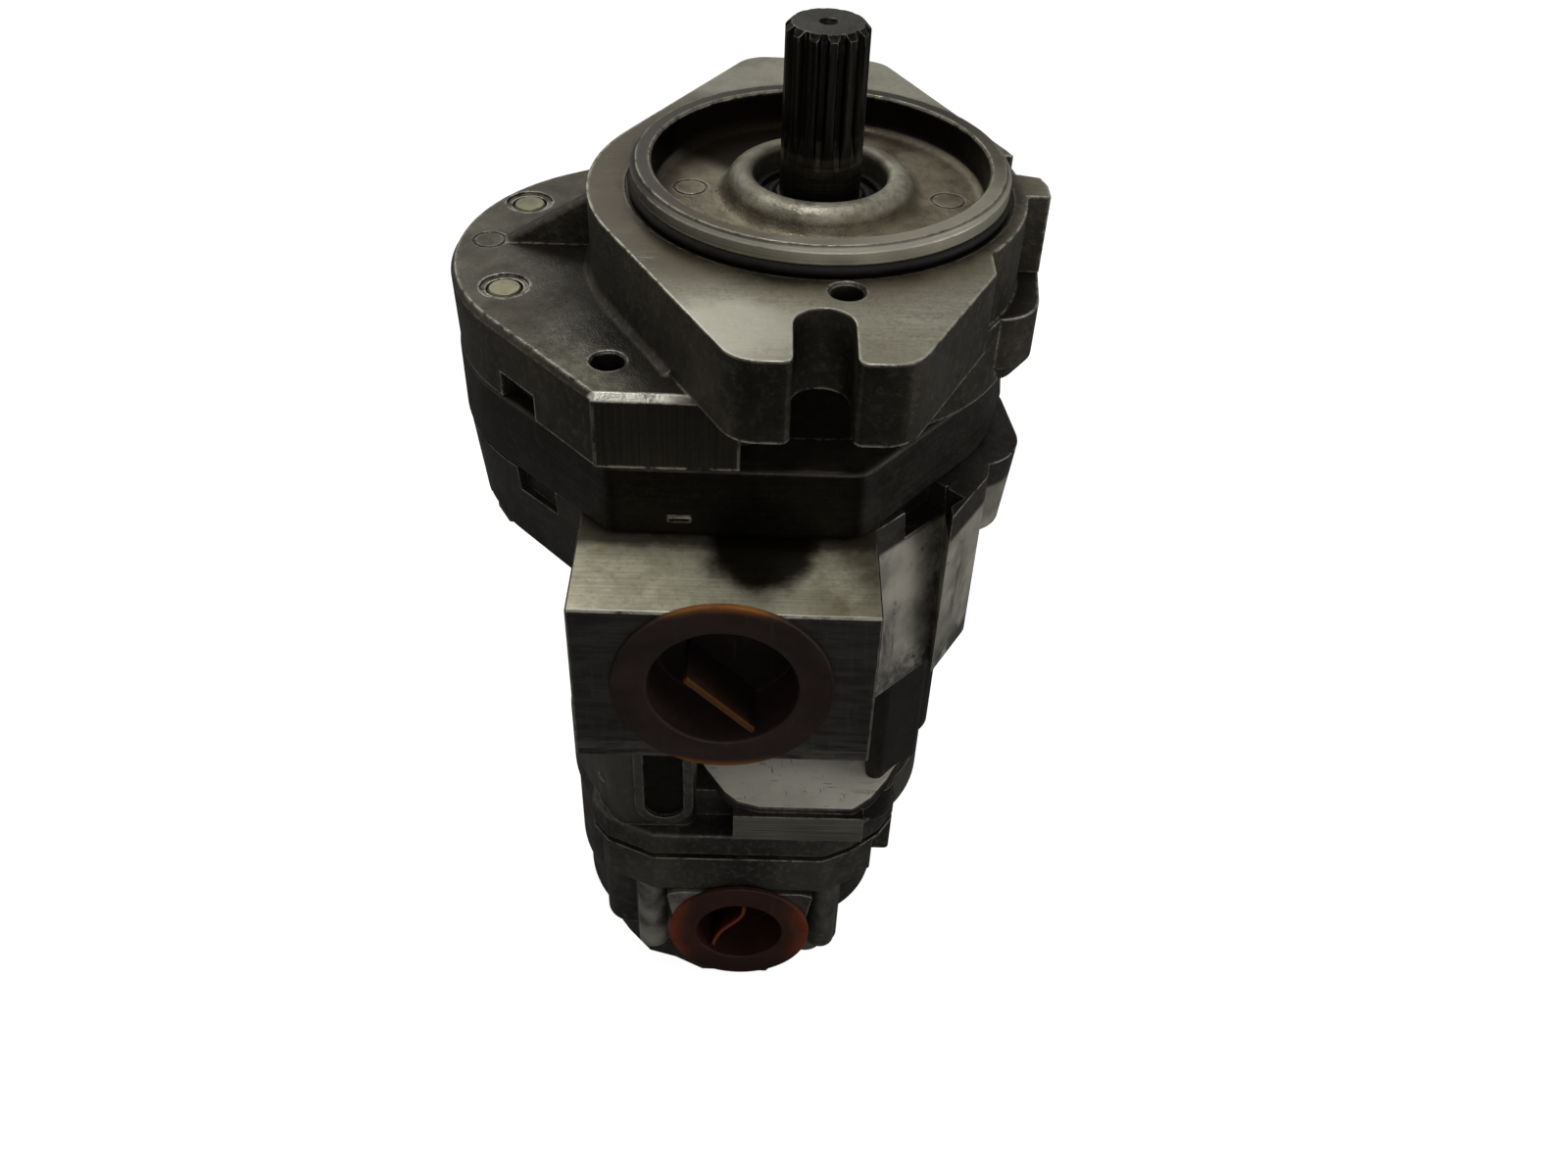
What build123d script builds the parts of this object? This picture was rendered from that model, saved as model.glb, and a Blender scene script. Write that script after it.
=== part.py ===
from build123d import *
import math
import os

os.makedirs("parts", exist_ok=True)

# ---------------------------------------------------------------------------
# Tandem gear pump, millimetres.
# Origin: centre of the mounting pilot, on the mounting face of the flange.
# +Z runs up the drive shaft towards its splined tip, both inlet ports face -Y,
# the driven gears sit on the -X side. The pump stands on its rear housing.
# ---------------------------------------------------------------------------

# drive end
shaft_tip_z = 43.2
spline_major_r = 10.9
spline_minor_r = 9.2
spline_teeth = 13
spline_module = 25.4 / 16.0
pilot_r = 50.8
pilot_h = 7.7
pilot_inner_r = 45.2
recess_floor_z = -2.6
boss_top_z = 4.2
boss_r = 25.6
seal_bore_r = 18.0
flange_t = 22.5
slot_r = 7.4
slot_y = 73.0
flange_tip_r = 10.0

# levels down the stack
z_joint1 = -44.0       # front cover / front bearing plate
z_joint2 = -66.0       # front bearing plate / front gear case
z_lug = -92.0          # underside of the gear case bolt lugs
z_block = -118.6       # underside of the inlet block
z_joint3 = -124.5      # front gear case / center housing
z_ledge = -180.0       # machined ledge on the center housing
z_collar = -195.0      # top of the rear mounting rim
z_joint4 = -206.5      # center housing / rear bearing plate
z_joint5 = -223.5      # rear bearing plate / rear gear case
z_joint6 = -262.0      # rear gear case / rear cover
z_base = -284.0        # underside

# front pump section
cd_front = 44.0
front_teeth = 11
front_module = 4.0
front_case_r = 26.08
front_plate_r = 26.0
journal_r = 12.5
bush_inner_r = 12.55
bush_outer_r = 15.5
front_plate_t = 10.0

# rear pump section
cd_rear = 33.0
rear_teeth = 11
rear_module = 3.0
rear_case_r = 19.58
rear_plate_r = 19.5
rear_journal_r = 9.0
rear_bush_inner_r = 9.05
rear_bush_outer_r = 11.5
rear_plate_t = 6.5

# ports
front_port_x = -22.0
front_port_z = -91.2
front_port_r = 20.6
front_face_y = -101.0
rear_port_x = -16.5
rear_port_z = -243.5
rear_port_r = 15.6
rear_face_y = -67.5

axial_gap = 0.05


# ---------------------------------------------------------------------------
# helpers
# ---------------------------------------------------------------------------
def cyl(x, y, z0, z1, r):
    return Pos(x, y, z0) * Cylinder(r, z1 - z0, align=(Align.CENTER, Align.CENTER, Align.MIN))


def ycyl(x, z, y0, y1, r):
    # cylinder along Y from y0 to y1
    return Pos(x, y0, z) * Rot(-90, 0, 0) * Cylinder(r, y1 - y0, align=(Align.CENTER, Align.CENTER, Align.MIN))


def box(x0, x1, y0, y1, z0, z1):
    return Pos((x0 + x1) / 2, (y0 + y1) / 2, (z0 + z1) / 2) * Box(x1 - x0, y1 - y0, z1 - z0)


def hull(circles):
    edges = []
    for x, y, r in circles:
        edges += (Pos(x, y) * Circle(r)).edges()
    return make_hull(edges)


def slab(sketch, z0, z1):
    return Pos(0, 0, z0) * extrude(sketch, z1 - z0)


def rrect(x0, x1, y0, y1, r):
    return Pos((x0 + x1) / 2, (y0 + y1) / 2) * RectangleRounded(x1 - x0, y1 - y0, r)


def soften(part, edges, radii, mode="fillet"):
    edges = list(edges)
    if not edges:
        return part
    for r in radii:
        try:
            out = fillet(edges, r) if mode == "fillet" else chamfer(edges, r)
            if out.is_valid and out.volume > 0.5 * part.volume:
                return out
        except Exception:
            continue
    # edge by edge where the whole set will not blend at once
    for r in radii[-1:]:
        out = part
        for e in edges:
            c = e.center()
            try:
                near = sorted(out.edges(), key=lambda k: (k.center() - c).length)[0]
                if (near.center() - c).length > 0.2:
                    continue
                nxt = fillet([near], r) if mode == "fillet" else chamfer([near], r)
                if nxt.is_valid:
                    out = nxt
            except Exception:
                continue
    return out


def at_z(part, z, tol=0.01):
    return [e for e in part.edges() if abs(e.bounding_box().min.Z - z) < tol and abs(e.bounding_box().max.Z - z) < tol]


def outer_at_z(part, z, inside, tol=0.01):
    return [e for e in at_z(part, z, tol) if inside(e.center())]


def inv(a):
    return math.tan(a) - a


def gear_profile(teeth, module, pa_deg, tip_r, root_r, backlash, start_deg):
    # closed outline of an external involute gear, one tooth centred on start_deg
    pa = math.radians(pa_deg)
    rp = teeth * module / 2.0
    rb = rp * math.cos(pa)
    half = (math.pi * module / 2.0 - backlash) / (2.0 * rp)

    def half_angle(r):
        a = math.acos(min(1.0, rb / r))
        return half + inv(pa) - inv(a)

    r0 = max(rb, root_r) + 0.02
    n = 6
    radii = [r0 + (tip_r - r0) * i / (n - 1) for i in range(n)]
    pitch = 2 * math.pi / teeth

    def pt(r, a):
        return Vector(r * math.cos(a), r * math.sin(a), 0)

    edges = []
    for k in range(teeth):
        c = math.radians(start_deg) + k * pitch
        right = [pt(r, c - half_angle(r)) for r in radii]
        left = [pt(r, c + half_angle(r)) for r in reversed(radii)]
        hr = half_angle(r0)
        root_a = pt(root_r, c - hr)
        root_b = pt(root_r, c + hr)
        if (right[0] - root_a).length > 0.05:
            edges.append(Edge.make_line(root_a, right[0]))
        else:
            root_a, root_b = right[0], left[-1]
        edges.append(Edge.make_spline(right))
        edges.append(Edge.make_three_point_arc(right[-1], pt(tip_r, c), left[0]))
        edges.append(Edge.make_spline(left))
        if (left[-1] - root_b).length > 0.05:
            edges.append(Edge.make_line(left[-1], root_b))
        nxt = c + pitch
        na = pt(root_r, nxt - hr) if abs(root_a.length - root_r) < 1e-6 else pt(r0, nxt - hr)
        edges.append(Edge.make_three_point_arc(root_b, pt(root_r, c + pitch / 2), na))
    return Face(Wire(edges))


def toothed_stub(x, y, z0, z1, teeth, tip_r, root_r, tooth_frac, grow=0.0):
    # straight-sided serration used inside the coupling
    pitch = 360.0 / teeth
    pts = []
    for k in range(teeth):
        c = k * pitch
        for r, a in ((root_r + grow, -0.5 * tooth_frac - 0.12), (tip_r + grow, -0.5 * tooth_frac + 0.02),
                     (tip_r + grow, 0.5 * tooth_frac - 0.02), (root_r + grow, 0.5 * tooth_frac + 0.12)):
            t = math.radians(c + a * pitch)
            pts.append((r * math.cos(t), r * math.sin(t)))
    face = make_face(Polyline(*pts, close=True))
    return Pos(x, y, z0) * extrude(face, z1 - z0)


def stadium(cx, r):
    # outline round both gear axes
    return hull([(0, 0, r), (-cx, 0, r)])


def ring_seal(cx, r_in, r_out, z0, z1):
    return slab(stadium(cx, r_out), z0, z1) - slab(stadium(cx, r_in), z0, z1)


# ---------------------------------------------------------------------------
# fastener layout
# ---------------------------------------------------------------------------
case_bolts_xy = [(-83.8, 29.3), (-83.8, -20.2), (45.5, -19.0), (45.5, 19.0), (-57.0, 46.5), (17.5, 48.5)]
center_screws_xy = [(-60.0, -31.0), (-60.0, 31.0), (27.0, -30.0), (27.0, 30.0)]
rear_bolts_xy = [(-44.0, -41.5), (-44.0, 41.5), (8.0, -41.5), (8.0, 41.5)]
dowel_front_xy = [(-40.0, -46.0), (0.0, 42.0)]
dowel_rear_xy = [(-56.0, -44.0), (9.0, 52.5)]
bolt_r = 5.0
center_screw_r = 4.0
rear_bolt_r = 4.5
dowel_r = 3.0

# ---------------------------------------------------------------------------
# front cover: flange, pilot, seal boss and gear lobe in one casting
# ---------------------------------------------------------------------------
flange2d = hull([(-1.8, 0, 60.7), (0, 0, 59.3), (-15, -79.5, flange_tip_r), (14.5, -79.5, flange_tip_r),
                 (-15, 79.5, flange_tip_r), (14.5, 79.5, flange_tip_r)])
flange = slab(flange2d, -flange_t, 0)
notch = box(42.8, 75, -62, -3, -flange_t - 0.01, 1) - cyl(0, 0, -flange_t - 1, 2, 56.0)
flange = flange - notch
notch_back = box(49, 75, 9, 22, -flange_t - 0.01, 1) - cyl(0, 0, -flange_t - 1, 2, 55.4)
flange = flange - notch_back
tab2d = make_face(Polyline((48, -3), (62.3, -3), (62.3, 3.5), (60.8, 8.4), (55.3, 10), (48, 10), close=True))
flange = flange + slab(tab2d, -flange_t, 0)
slots = None
for s in (-1, 1):
    c = cyl(0, s * slot_y, -flange_t - 1, 1, slot_r)
    b = box(-slot_r, slot_r, min(s * slot_y, s * 100), max(s * slot_y, s * 100), -flange_t - 1, 1)
    slots = c + b if slots is None else slots + c + b
flange = flange - slots
mouth = [e for e in flange.edges().filter_by(Axis.Z)
         if abs(abs(e.center().X) - slot_r) < 0.3 and abs(e.center().Y) > 84]
flange = soften(flange, mouth, (2.4, 1.5))

lobe_low = hull([(-44, 0, 56.4), (-54.6, -70.2, 1.2), (-57, 46.5, 12), (0, 0, 52)])
lobe_top = hull([(-43.7, 1.5, 57.6), (-54.6, -70.2, 1.2), (-57, 46.7, 12.2), (0, 0, 52)])
lobe_edge = hull([(-43.7, 1.5, 56.4), (-54.6, -70.2, 0.2), (-57, 46.7, 11.0), (0, 0, 50.8)])
edge_z = -flange_t - 1.9
cover_lobe = loft([Pos(0, 0, z_joint1) * lobe_low, Pos(0, 0, edge_z) * lobe_top], ruled=True)
cover_lobe = cover_lobe + loft([Pos(0, 0, edge_z) * lobe_top, Pos(0, 0, -flange_t) * lobe_edge], ruled=True)
front2d = rrect(-55.8, -19, -71.4, -20, 0.6)
front_wall = slab(front2d, z_joint1, edge_z) + loft([Pos(0, 0, edge_z) * front2d, Pos(0, 0, -flange_t) * rrect(-54.8, -20, -70.2, -21, 0.6)], ruled=True)
right2d = Circle(57.0)
ear_mid = hull([(20, 0, 10), (48.2, -17.2, 12.3), (48.2, 17.2, 12.3), (50.3, 0, 12)])
ear_bot = hull([(20, 0, 8), (48.2, -17.2, 8.3), (48.2, 17.2, 8.3), (50.3, 0, 8)])
rear2d = hull([(-57, 46.5, 12), (17.5, 48.5, 12), (-40, 0, 20), (16, 0, 20)])
body2d = right2d + rear2d
cover_low = slab(body2d, z_joint1, -flange_t) + front_wall + cover_lobe + slab(ear_mid, z_joint1 + 6, -flange_t)
cover_low = cover_low + loft([Pos(0, 0, z_joint1) * ear_bot, Pos(0, 0, z_joint1 + 6) * ear_mid], ruled=True)

# gusset rib from the lobe up to the flange wall
rib = make_face(Polyline((-88.5, -flange_t - 2), (-58, -flange_t - 2), (-58, -5.0),
                         (-87.5, -flange_t + 0.5), close=True))
rib = extrude(Plane.XZ * rib, 2.3, both=True)
rib = Pos(0, 6.3, 0) * rib
rib = soften(rib, [e for e in rib.edges() if e.center().Z > -flange_t + 1 and e.length > 5], (1.2,))

pilot = cyl(0, 0, -1, pilot_h, pilot_r)
pilot = soften(pilot, at_z(pilot, pilot_h), (1.5,), "chamfer")

front_cover = flange + cover_low
front_cover = front_cover + rib
# cast fillet where the flange wall stands on the lobe
skirt = slab(flange2d, -flange_t, 0) + slab(lobe_edge, -flange_t - 4, -flange_t)
foot_edges = [e for e in skirt.edges() if abs(e.center().Z + flange_t) < 0.02 and e.bounding_box().size.Z < 0.02
              and e.center().X > -66 and e.center().X < -20 and e.length > 2 and abs(e.center().Y) < 60
              and abs(e.center().Y) < 66 - 0.2 * abs(e.center().X)]
skirt = soften(skirt, foot_edges, (4.5, 3.5, 2.5))
skirt = skirt & box(-110, -22, -62, 40, -flange_t, -flange_t + 6)
front_cover = front_cover + skirt
front_cover = front_cover + pilot
front_cover = front_cover - (cyl(0, 0, recess_floor_z, pilot_h + 1, pilot_inner_r))
ring_root = outer_at_z(front_cover, recess_floor_z, lambda c: True)
front_cover = soften(front_cover, ring_root, (3.0, 2.0))
rim_in = [e for e in at_z(front_cover, pilot_h) if abs(e.length - 2 * math.pi * pilot_inner_r) < 1]
front_cover = soften(front_cover, rim_in, (0.5,), "chamfer")

boss = cyl(0, 0, recess_floor_z - 1, boss_top_z, boss_r)
boss = soften(boss, at_z(boss, boss_top_z), (5.2, 4.0))
front_cover = front_cover + boss
foot = [e for e in at_z(front_cover, recess_floor_z) if abs(e.length - 2 * math.pi * boss_r) < 1]
front_cover = soften(front_cover, foot, (3.5, 2.0))
front_cover = front_cover - cyl(0, 0, -14, boss_top_z + 1, seal_bore_r)
mouth_rim = [e for e in at_z(front_cover, boss_top_z) if abs(e.length - 2 * math.pi * seal_bore_r) < 1]
front_cover = soften(front_cover, mouth_rim, (2.0, 1.2))
front_cover = front_cover - cyl(0, 0, z_joint1 - 1, -13, journal_r + 0.9)
# groove at the foot of the pilot
front_cover = front_cover - (cyl(0, 0, -0.3, 3.1, pilot_r + 1.4) - cyl(0, 0, -1, 4, 48.6))
# ejector pin marks: shallow rings on the recess floor and on the lobe
for mx, my, mz in ((-34.9, 1.0, recess_floor_z), (34.8, -2.0, recess_floor_z), (-91.8, 5.4, -flange_t)):
    front_cover = front_cover - (cyl(mx, my, mz - 0.3, mz + 0.5, 4.7) - cyl(mx, my, mz - 1, mz + 1, 4.1))
# tapped holes: one on the flange face, one on the lobe
front_cover = front_cover - cyl(5.7, -57.3, -18, 1, 4.1)
front_cover = soften(front_cover, [e for e in at_z(front_cover, 0) if abs(e.length - 2 * math.pi * 4.1) < 0.5], (0.8,), "chamfer")
front_cover = front_cover - cyl(-52.7, -55.7, z_joint1 + 3, -flange_t + 1, 4.3)
front_cover = soften(front_cover, [e for e in at_z(front_cover, -flange_t) if abs(e.length - 2 * math.pi * 4.3) < 0.5], (0.6,), "chamfer")
for i, (bx, by) in enumerate(case_bolts_xy):
    top = 1 if i < 2 else -28
    front_cover = front_cover - cyl(bx, by, z_joint1 - 1, top if i < 2 else -28, bolt_r + 0.02)
for dx, dy in dowel_front_xy:
    front_cover = front_cover - cyl(dx, dy, z_joint1 - 1, z_joint1 + 8, dowel_r)
# shallow spot faces round the two through bolts
for bx, by in case_bolts_xy[:2]:
    front_cover = front_cover - cyl(bx, by, -flange_t - 0.7, -flange_t + 1, bolt_r + 1.6)
# pry slots in the lower rim, left and hidden side
def pry(x, y, ang, z0, z1, w=15.0, d=7.0):
    # slot cut inwards from the rim; ang is the outward direction
    return Pos(x, y, 0) * Rot(0, 0, ang) * box(-d, 20, -w / 2, w / 2, z0, z1)
front_cover = front_cover - pry(-79.2, -47.5, 225, z_joint1 - 1, z_joint1 + 7.5)
front_cover = front_cover - pry(-86.0, 39.0, 135, z_joint1 - 1, z_joint1 + 7)

# ---------------------------------------------------------------------------
# front bearing plate
# ---------------------------------------------------------------------------
plate2d = hull([(0, 0, 55.8), (-44, 0, 56.8), (9, -63.4, 8), (-49.5, -63.4, 8), (17.5, 48.5, 12), (-57, 46.5, 12)])
front_bearing_plate = slab(plate2d, z_joint2, z_joint1)
front_bearing_plate = soften(front_bearing_plate, [e for e in at_z(front_bearing_plate, z_joint1)], (1.6, 1.0))
front_bearing_plate = soften(front_bearing_plate, [e for e in at_z(front_bearing_plate, z_joint2)], (2.0, 1.0))
for ax in (0, -cd_front):
    front_bearing_plate = front_bearing_plate - cyl(ax, 0, z_joint2 - 1, z_joint1 + 1, bush_outer_r)
for bx, by in case_bolts_xy:
    front_bearing_plate = front_bearing_plate - cyl(bx, by, z_joint2 - 1, z_joint1 + 1, bolt_r + 0.3)
for dx, dy in dowel_front_xy:
    front_bearing_plate = front_bearing_plate - cyl(dx, dy, z_joint2 - 1, z_joint1 + 1, dowel_r)
cover_seal = ring_seal(cd_front, 33.0, 36.0, z_joint1 - 2.3, z_joint1)
plate_seal = ring_seal(cd_front, 31.0, 34.0, z_joint2, z_joint2 + 2.3)
front_bearing_plate = front_bearing_plate - cover_seal - plate_seal
# small cast marks on the front of the plate
front_bearing_plate = front_bearing_plate + box(-37.5, -31.5, -72.0, -71.0, -60.6, -58.9)

# ---------------------------------------------------------------------------
# front gear case with inlet block
# ---------------------------------------------------------------------------
lug_top = hull([(-44, 0, 56.4), (-49.5, -61, 8), (-57, 46.5, 12), (-20, -60, 8), (0, 0, 50), (17.5, 48.5, 12)])
lug_low = hull([(-44, 0, 54.0), (-50.5, -59.6, 8), (-57, 46.5, 10.5), (-20, -59, 8), (0, 0, 49), (17.5, 48.5, 10.5)])
case_low2d = hull([(-46, -28, 21.5), (-50, 10, 20), (-50, 28, 14), (33.6, -55.6, 6.2), (43.4, -38.0, 6.9), (42, 0, 13), (34, 30, 10), (-48, -50, 11)])
front_gear_case = loft([Pos(0, 0, z_lug) * lug_low, Pos(0, 0, z_joint2) * lug_top], ruled=True)
for sy in (-1, 1):
    ear_top = hull([(20, 0, 20), (45.8, sy * 21, 14.6), (45.2, sy * 4, 13)])
    ear_low = hull([(20, 0, 20), (45.8, sy * 21, 12.3), (45.2, sy * 4, 11.5)])
    front_gear_case = front_gear_case + loft([Pos(0, 0, z_lug) * ear_low, Pos(0, 0, z_joint2) * ear_top], ruled=True)
case_low = slab(case_low2d, z_joint3, z_joint2)
# cast wall that slants back from the inlet block to the corner rib
def poly(*pts):
    return make_face(Polyline(*pts, close=True))
recess = loft([Pos(0, 0, z_joint3 - 1) * poly((10.0, -82.2), (38.3, -53.9), (38.3, -90), (10.0, -90)),
               Pos(0, 0, z_joint2 + 1) * poly((10.0, -73.5), (38.3, -45.2), (38.3, -90), (10.0, -90))], ruled=True)
case_low = case_low + slab(poly((14.0, -40), (14.0, -77.0), (20.0, -77.0), (39.5, -58.0), (39.5, -40)), z_joint3, z_joint2)
case_low = case_low - recess
front_gear_case = front_gear_case + case_low
block = box(-61.3, 17.7, front_face_y, -30, z_block, z_joint2)
block = soften(block, [e for e in block.edges() if e.center().Y < -60], (0.5,), "chamfer")
front_gear_case = front_gear_case + block
# back outlet pad
back_pad = slab(rrect(-46, 2, 20, 66, 6), -118, -72)
back_pad = soften(back_pad, [e for e in back_pad.edges() if e.center().Y > 50], (3.0, 1.5))
front_gear_case = front_gear_case + back_pad
# gear chamber
front_gear_case = front_gear_case - cyl(0, 0, z_joint3 - 1, z_joint2 + 1, front_case_r)
front_gear_case = front_gear_case - cyl(-cd_front, 0, z_joint3 - 1, z_joint2 + 1, front_case_r)
# inlet bore and passage, outlet bore and passage
front_gear_case = front_gear_case - ycyl(front_port_x, front_port_z, front_face_y - 1, -44, front_port_r)
front_gear_case = front_gear_case - ycyl(front_port_x, front_port_z - 4, -46, -6, 12.0)
front_gear_case = front_gear_case - ycyl(front_port_x, -95.0, 40, 67, 13.0)
front_gear_case = front_gear_case - ycyl(front_port_x, -95.0, 6, 41, 9.5)
# pry slots at the upper rim
front_gear_case = front_gear_case - (Pos(26.0, -58.5, 0) * Rot(0, 0, 45) * box(0, 17.0, -6.0, 6.5, z_joint2 - 8.2, z_joint2 + 1))
front_gear_case = front_gear_case - pry(-77.8, -50.6, 225, z_joint2 - 8, z_joint2 + 1, 16, 6.5)
front_gear_case = front_gear_case - pry(-86.0, 39.0, 135, z_joint2 - 8, z_joint2 + 1, 16, 6.5)
# bolt seats
for bx, by in case_bolts_xy:
    front_gear_case = front_gear_case - cyl(bx, by, z_lug - 1, z_joint2 + 1, bolt_r + 0.3)
for bx, by in case_bolts_xy:
    front_gear_case = front_gear_case - cyl(bx, by, z_joint3 - 2, z_lug + 1.5, 10.2)
for bx, by in center_screws_xy:
    front_gear_case = front_gear_case - cyl(bx, by, z_joint3 - 1, z_joint3 + 18, center_screw_r + 0.02)
for dx, dy in dowel_front_xy:
    front_gear_case = front_gear_case - cyl(dx, dy, z_joint2 - 8, z_joint2 + 1, dowel_r)
# outlet flange screw holes round the back bore
for sx in (-1, 1):
    for sz in (-1, 1):
        front_gear_case = front_gear_case - ycyl(front_port_x + sx * 17.0, -95 + sz * 17.0, 52, 67, 3.4)

# ---------------------------------------------------------------------------
# center housing: bearing pockets, coupling chamber, ledge and rear rim
# ---------------------------------------------------------------------------
column2d = hull([(-48, 0, 24), (-53, -28, 14), (-53, 28, 14), (14, -34, 11), (14, 34, 11), (35, -20, 11), (36, 0, 12), (35, 20, 11)])
column2d = column2d + hull([(26.5, -50, 3), (35, -36, 6), (26.5, -30, 3)])
center_housing = slab(column2d, z_ledge - 3, z_joint3)
# dark left buttress in front
butt2d = hull([(-52, -53, 9), (-63, -30, 10), (-36, -57.5, 4.5), (-36, -20, 4.5)])
buttress = slab(butt2d, z_collar - 2, -134.0)
buttress = soften(buttress, at_z(buttress, -134.0), (4.0,))
center_housing = center_housing + buttress
# ledge collar
ledge2d = make_face(Polyline((-34.0, -40), (-29.5, -49.8), (-22.6, -60.4), (-18.2, -64.4), (-11.0, -66.5), (19.0, -66.5),
                             (25.2, -61.3), (30.8, -53.2), (35.6, -44.0), (39.4, -34.0), (43.6, -21), (45.6, -9), (45.6, 9), (42.4, 31.5),
                             (37.6, 46), (20, 55), (-50, 55), (-64, 42), (-71, 20), (-72, 0), (-70, -22), (-60, -40), close=True))
ledge = slab(ledge2d, z_ledge - 3.5, z_ledge)
vert = [e for e in ledge.edges().filter_by(Axis.Z)]
ledge = soften(ledge, vert, (3.0, 2.0, 1.0))
ledge = soften(ledge, at_z(ledge, z_ledge), (0.8, 0.5))
center_housing = center_housing + ledge
neck2d = hull([(-31, 0, 42), (2, 0, 38)]) + rrect(-64, 33, -57, 57, 8)
center_housing = center_housing + slab(neck2d, z_collar - 1, z_ledge - 3)
# machined pad under the ledge
center_housing = center_housing + box(-19.2, 22.4, -68.6, -40, z_collar + 2.0, z_ledge - 1.9)
# rim that carries the rear section
rim_corners = [(-64.5, -51.5, 2.0), (-59.5, -58.0, 2.0), (-45.0, -64.5, 2.0), (10.0, -64.5, 2.0), (18.5, -60.5, 2.0), (28.0, -53.0, 2.0), (32.6, -46.0, 2.0)]
rim2d = hull([(-31, 0, 48), (3, 0, 44)]) + hull(rim_corners + [(cx, -cy, cr) for cx, cy, cr in rim_corners])
rim = slab(rim2d, z_joint4, z_collar)
rim = soften(rim, at_z(rim, z_collar), (2.2, 1.5, 1.0))
center_housing = center_housing + rim
# parting groove along the lower edge of the rim
rim_cut = slab(offset(rim2d, 3), z_joint4, z_joint4 + 2.6) - slab(offset(rim2d, -2.6), z_joint4 - 1, z_joint4 + 4)
center_housing = center_housing - rim_cut
# raised U outline on the buttress
u_out = Pos(-41.5, 0, 0) * (box(-9.3, 9.3, -63.4, -58, -183.5, -146) + ycyl(0, -183.5, -63.4, -58, 9.3))
u_in = Pos(-41.5, 0, 0) * (box(-6.3, 6.3, -66, -62.0, -183.5, -147.5) + ycyl(0, -183.5, -66, -62.0, 6.3))
center_housing = center_housing + u_out - u_in
# bearing pockets, coupling chamber, screw and bolt holes
center_housing = center_housing - cyl(0, 0, z_joint4 - 1, z_joint3 + 1, bush_outer_r)
center_housing = center_housing - cyl(0, 0, z_joint4 - 1, -146.0, 17.0)
center_housing = center_housing - cyl(-cd_front, 0, -147.0, z_joint3 + 1, bush_outer_r)
center_housing = center_housing - cyl(-cd_rear, 0, z_joint4 - 1, -198.0, rear_bush_outer_r)
for bx, by in center_screws_xy:
    center_housing = center_housing - cyl(bx, by, z_joint4 - 1, z_joint3 + 1, center_screw_r + 0.3)
    center_housing = center_housing - cyl(bx, by, z_joint4 - 1, z_joint4 + 9.0, 7.0)
for bx, by in rear_bolts_xy:
    center_housing = center_housing - cyl(bx, by, z_joint4 - 1, -186.0, rear_bolt_r + 0.02)
for dx, dy in dowel_rear_xy:
    center_housing = center_housing - cyl(dx, dy, z_joint4 - 1, z_joint4 + 6, dowel_r)
center_seal = ring_seal(cd_front, 27.5, 29.8, z_joint3 - 2.3, z_joint3)
center_housing = center_housing - center_seal

# ---------------------------------------------------------------------------
# rear bearing plate
# ---------------------------------------------------------------------------
rear_bearing_plate = slab(rim2d, z_joint5, z_joint4)
rear_bearing_plate = soften(rear_bearing_plate, at_z(rear_bearing_plate, z_joint5), (1.5, 0.8))
for ax in (0, -cd_rear):
    rear_bearing_plate = rear_bearing_plate - cyl(ax, 0, z_joint5 - 1, z_joint4 + 1, rear_bush_outer_r)
for bx, by in rear_bolts_xy:
    rear_bearing_plate = rear_bearing_plate - cyl(bx, by, z_joint5 - 1, z_joint4 + 1, rear_bolt_r + 0.3)
for dx, dy in dowel_rear_xy:
    rear_bearing_plate = rear_bearing_plate - cyl(dx, dy, z_joint5 - 1, z_joint4 + 1, dowel_r)
rear_upper_seal = ring_seal(cd_rear, 20.5, 22.8, z_joint4 - 2.0, z_joint4)
rear_lower_seal = ring_seal(cd_rear, 23.0, 25.3, z_joint5, z_joint5 + 2.0)
rear_bearing_plate = rear_bearing_plate - rear_upper_seal - rear_lower_seal
# pry notches at the front corners
for x0, x1, y1 in ((-70.8, -62.8, -40.0), (27.6, 40.0, -46.5)):
    rear_bearing_plate = rear_bearing_plate - box(x0, x1, -62, y1, z_joint5 - 1, z_joint4 - 1.5)

# ---------------------------------------------------------------------------
# rear gear case: gear chamber, rear inlet and rear outlet
# ---------------------------------------------------------------------------
rear2 = hull([(-32.5, 0, 45.5), (0, 0, 36.5)]) + rrect(-64.5, 15.0, -52, 52, 9) + hull([(-48, -54, 5), (13.5, -54, 5), (-48, 54, 5), (13.5, 54, 5)])
rear_gear_case = slab(rear2, z_joint6, z_joint5)
# bolt columns each side of the port face
for cx, cr, cz in ((-46.8, 5.2, z_joint6), (12.2, 5.0, z_joint6 + 2)):
    for cs in (-1, 1):
        col = cyl(cx, cs * 58.6, cz, z_joint5, cr)
        col = soften(col, at_z(col, cz), (1.6,), "chamfer")
        rear_gear_case = rear_gear_case + col
pad2d = hull([(-40.0, z_joint5 - 2.0, 1.0), (7.0, z_joint5 - 2.0, 1.0), (rear_port_x, z_joint6 + 22.2, 22.0)])
port_pad = Pos(0, -40, 0) * extrude(Plane.XZ * pad2d, -40 - rear_face_y)
port_pad = port_pad & box(-60, 30, rear_face_y - 1, -39, z_joint6 - 1, z_joint5)
rear_gear_case = rear_gear_case + port_pad
back_pad2 = slab(rrect(-35, 2, 30, 64, 3.5), z_joint6, -228)
rear_gear_case = rear_gear_case + back_pad2
rear_gear_case = rear_gear_case - cyl(0, 0, z_joint6 - 1, z_joint5 + 1, rear_case_r) - cyl(-cd_rear, 0, z_joint6 - 1, z_joint5 + 1, rear_case_r)
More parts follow.
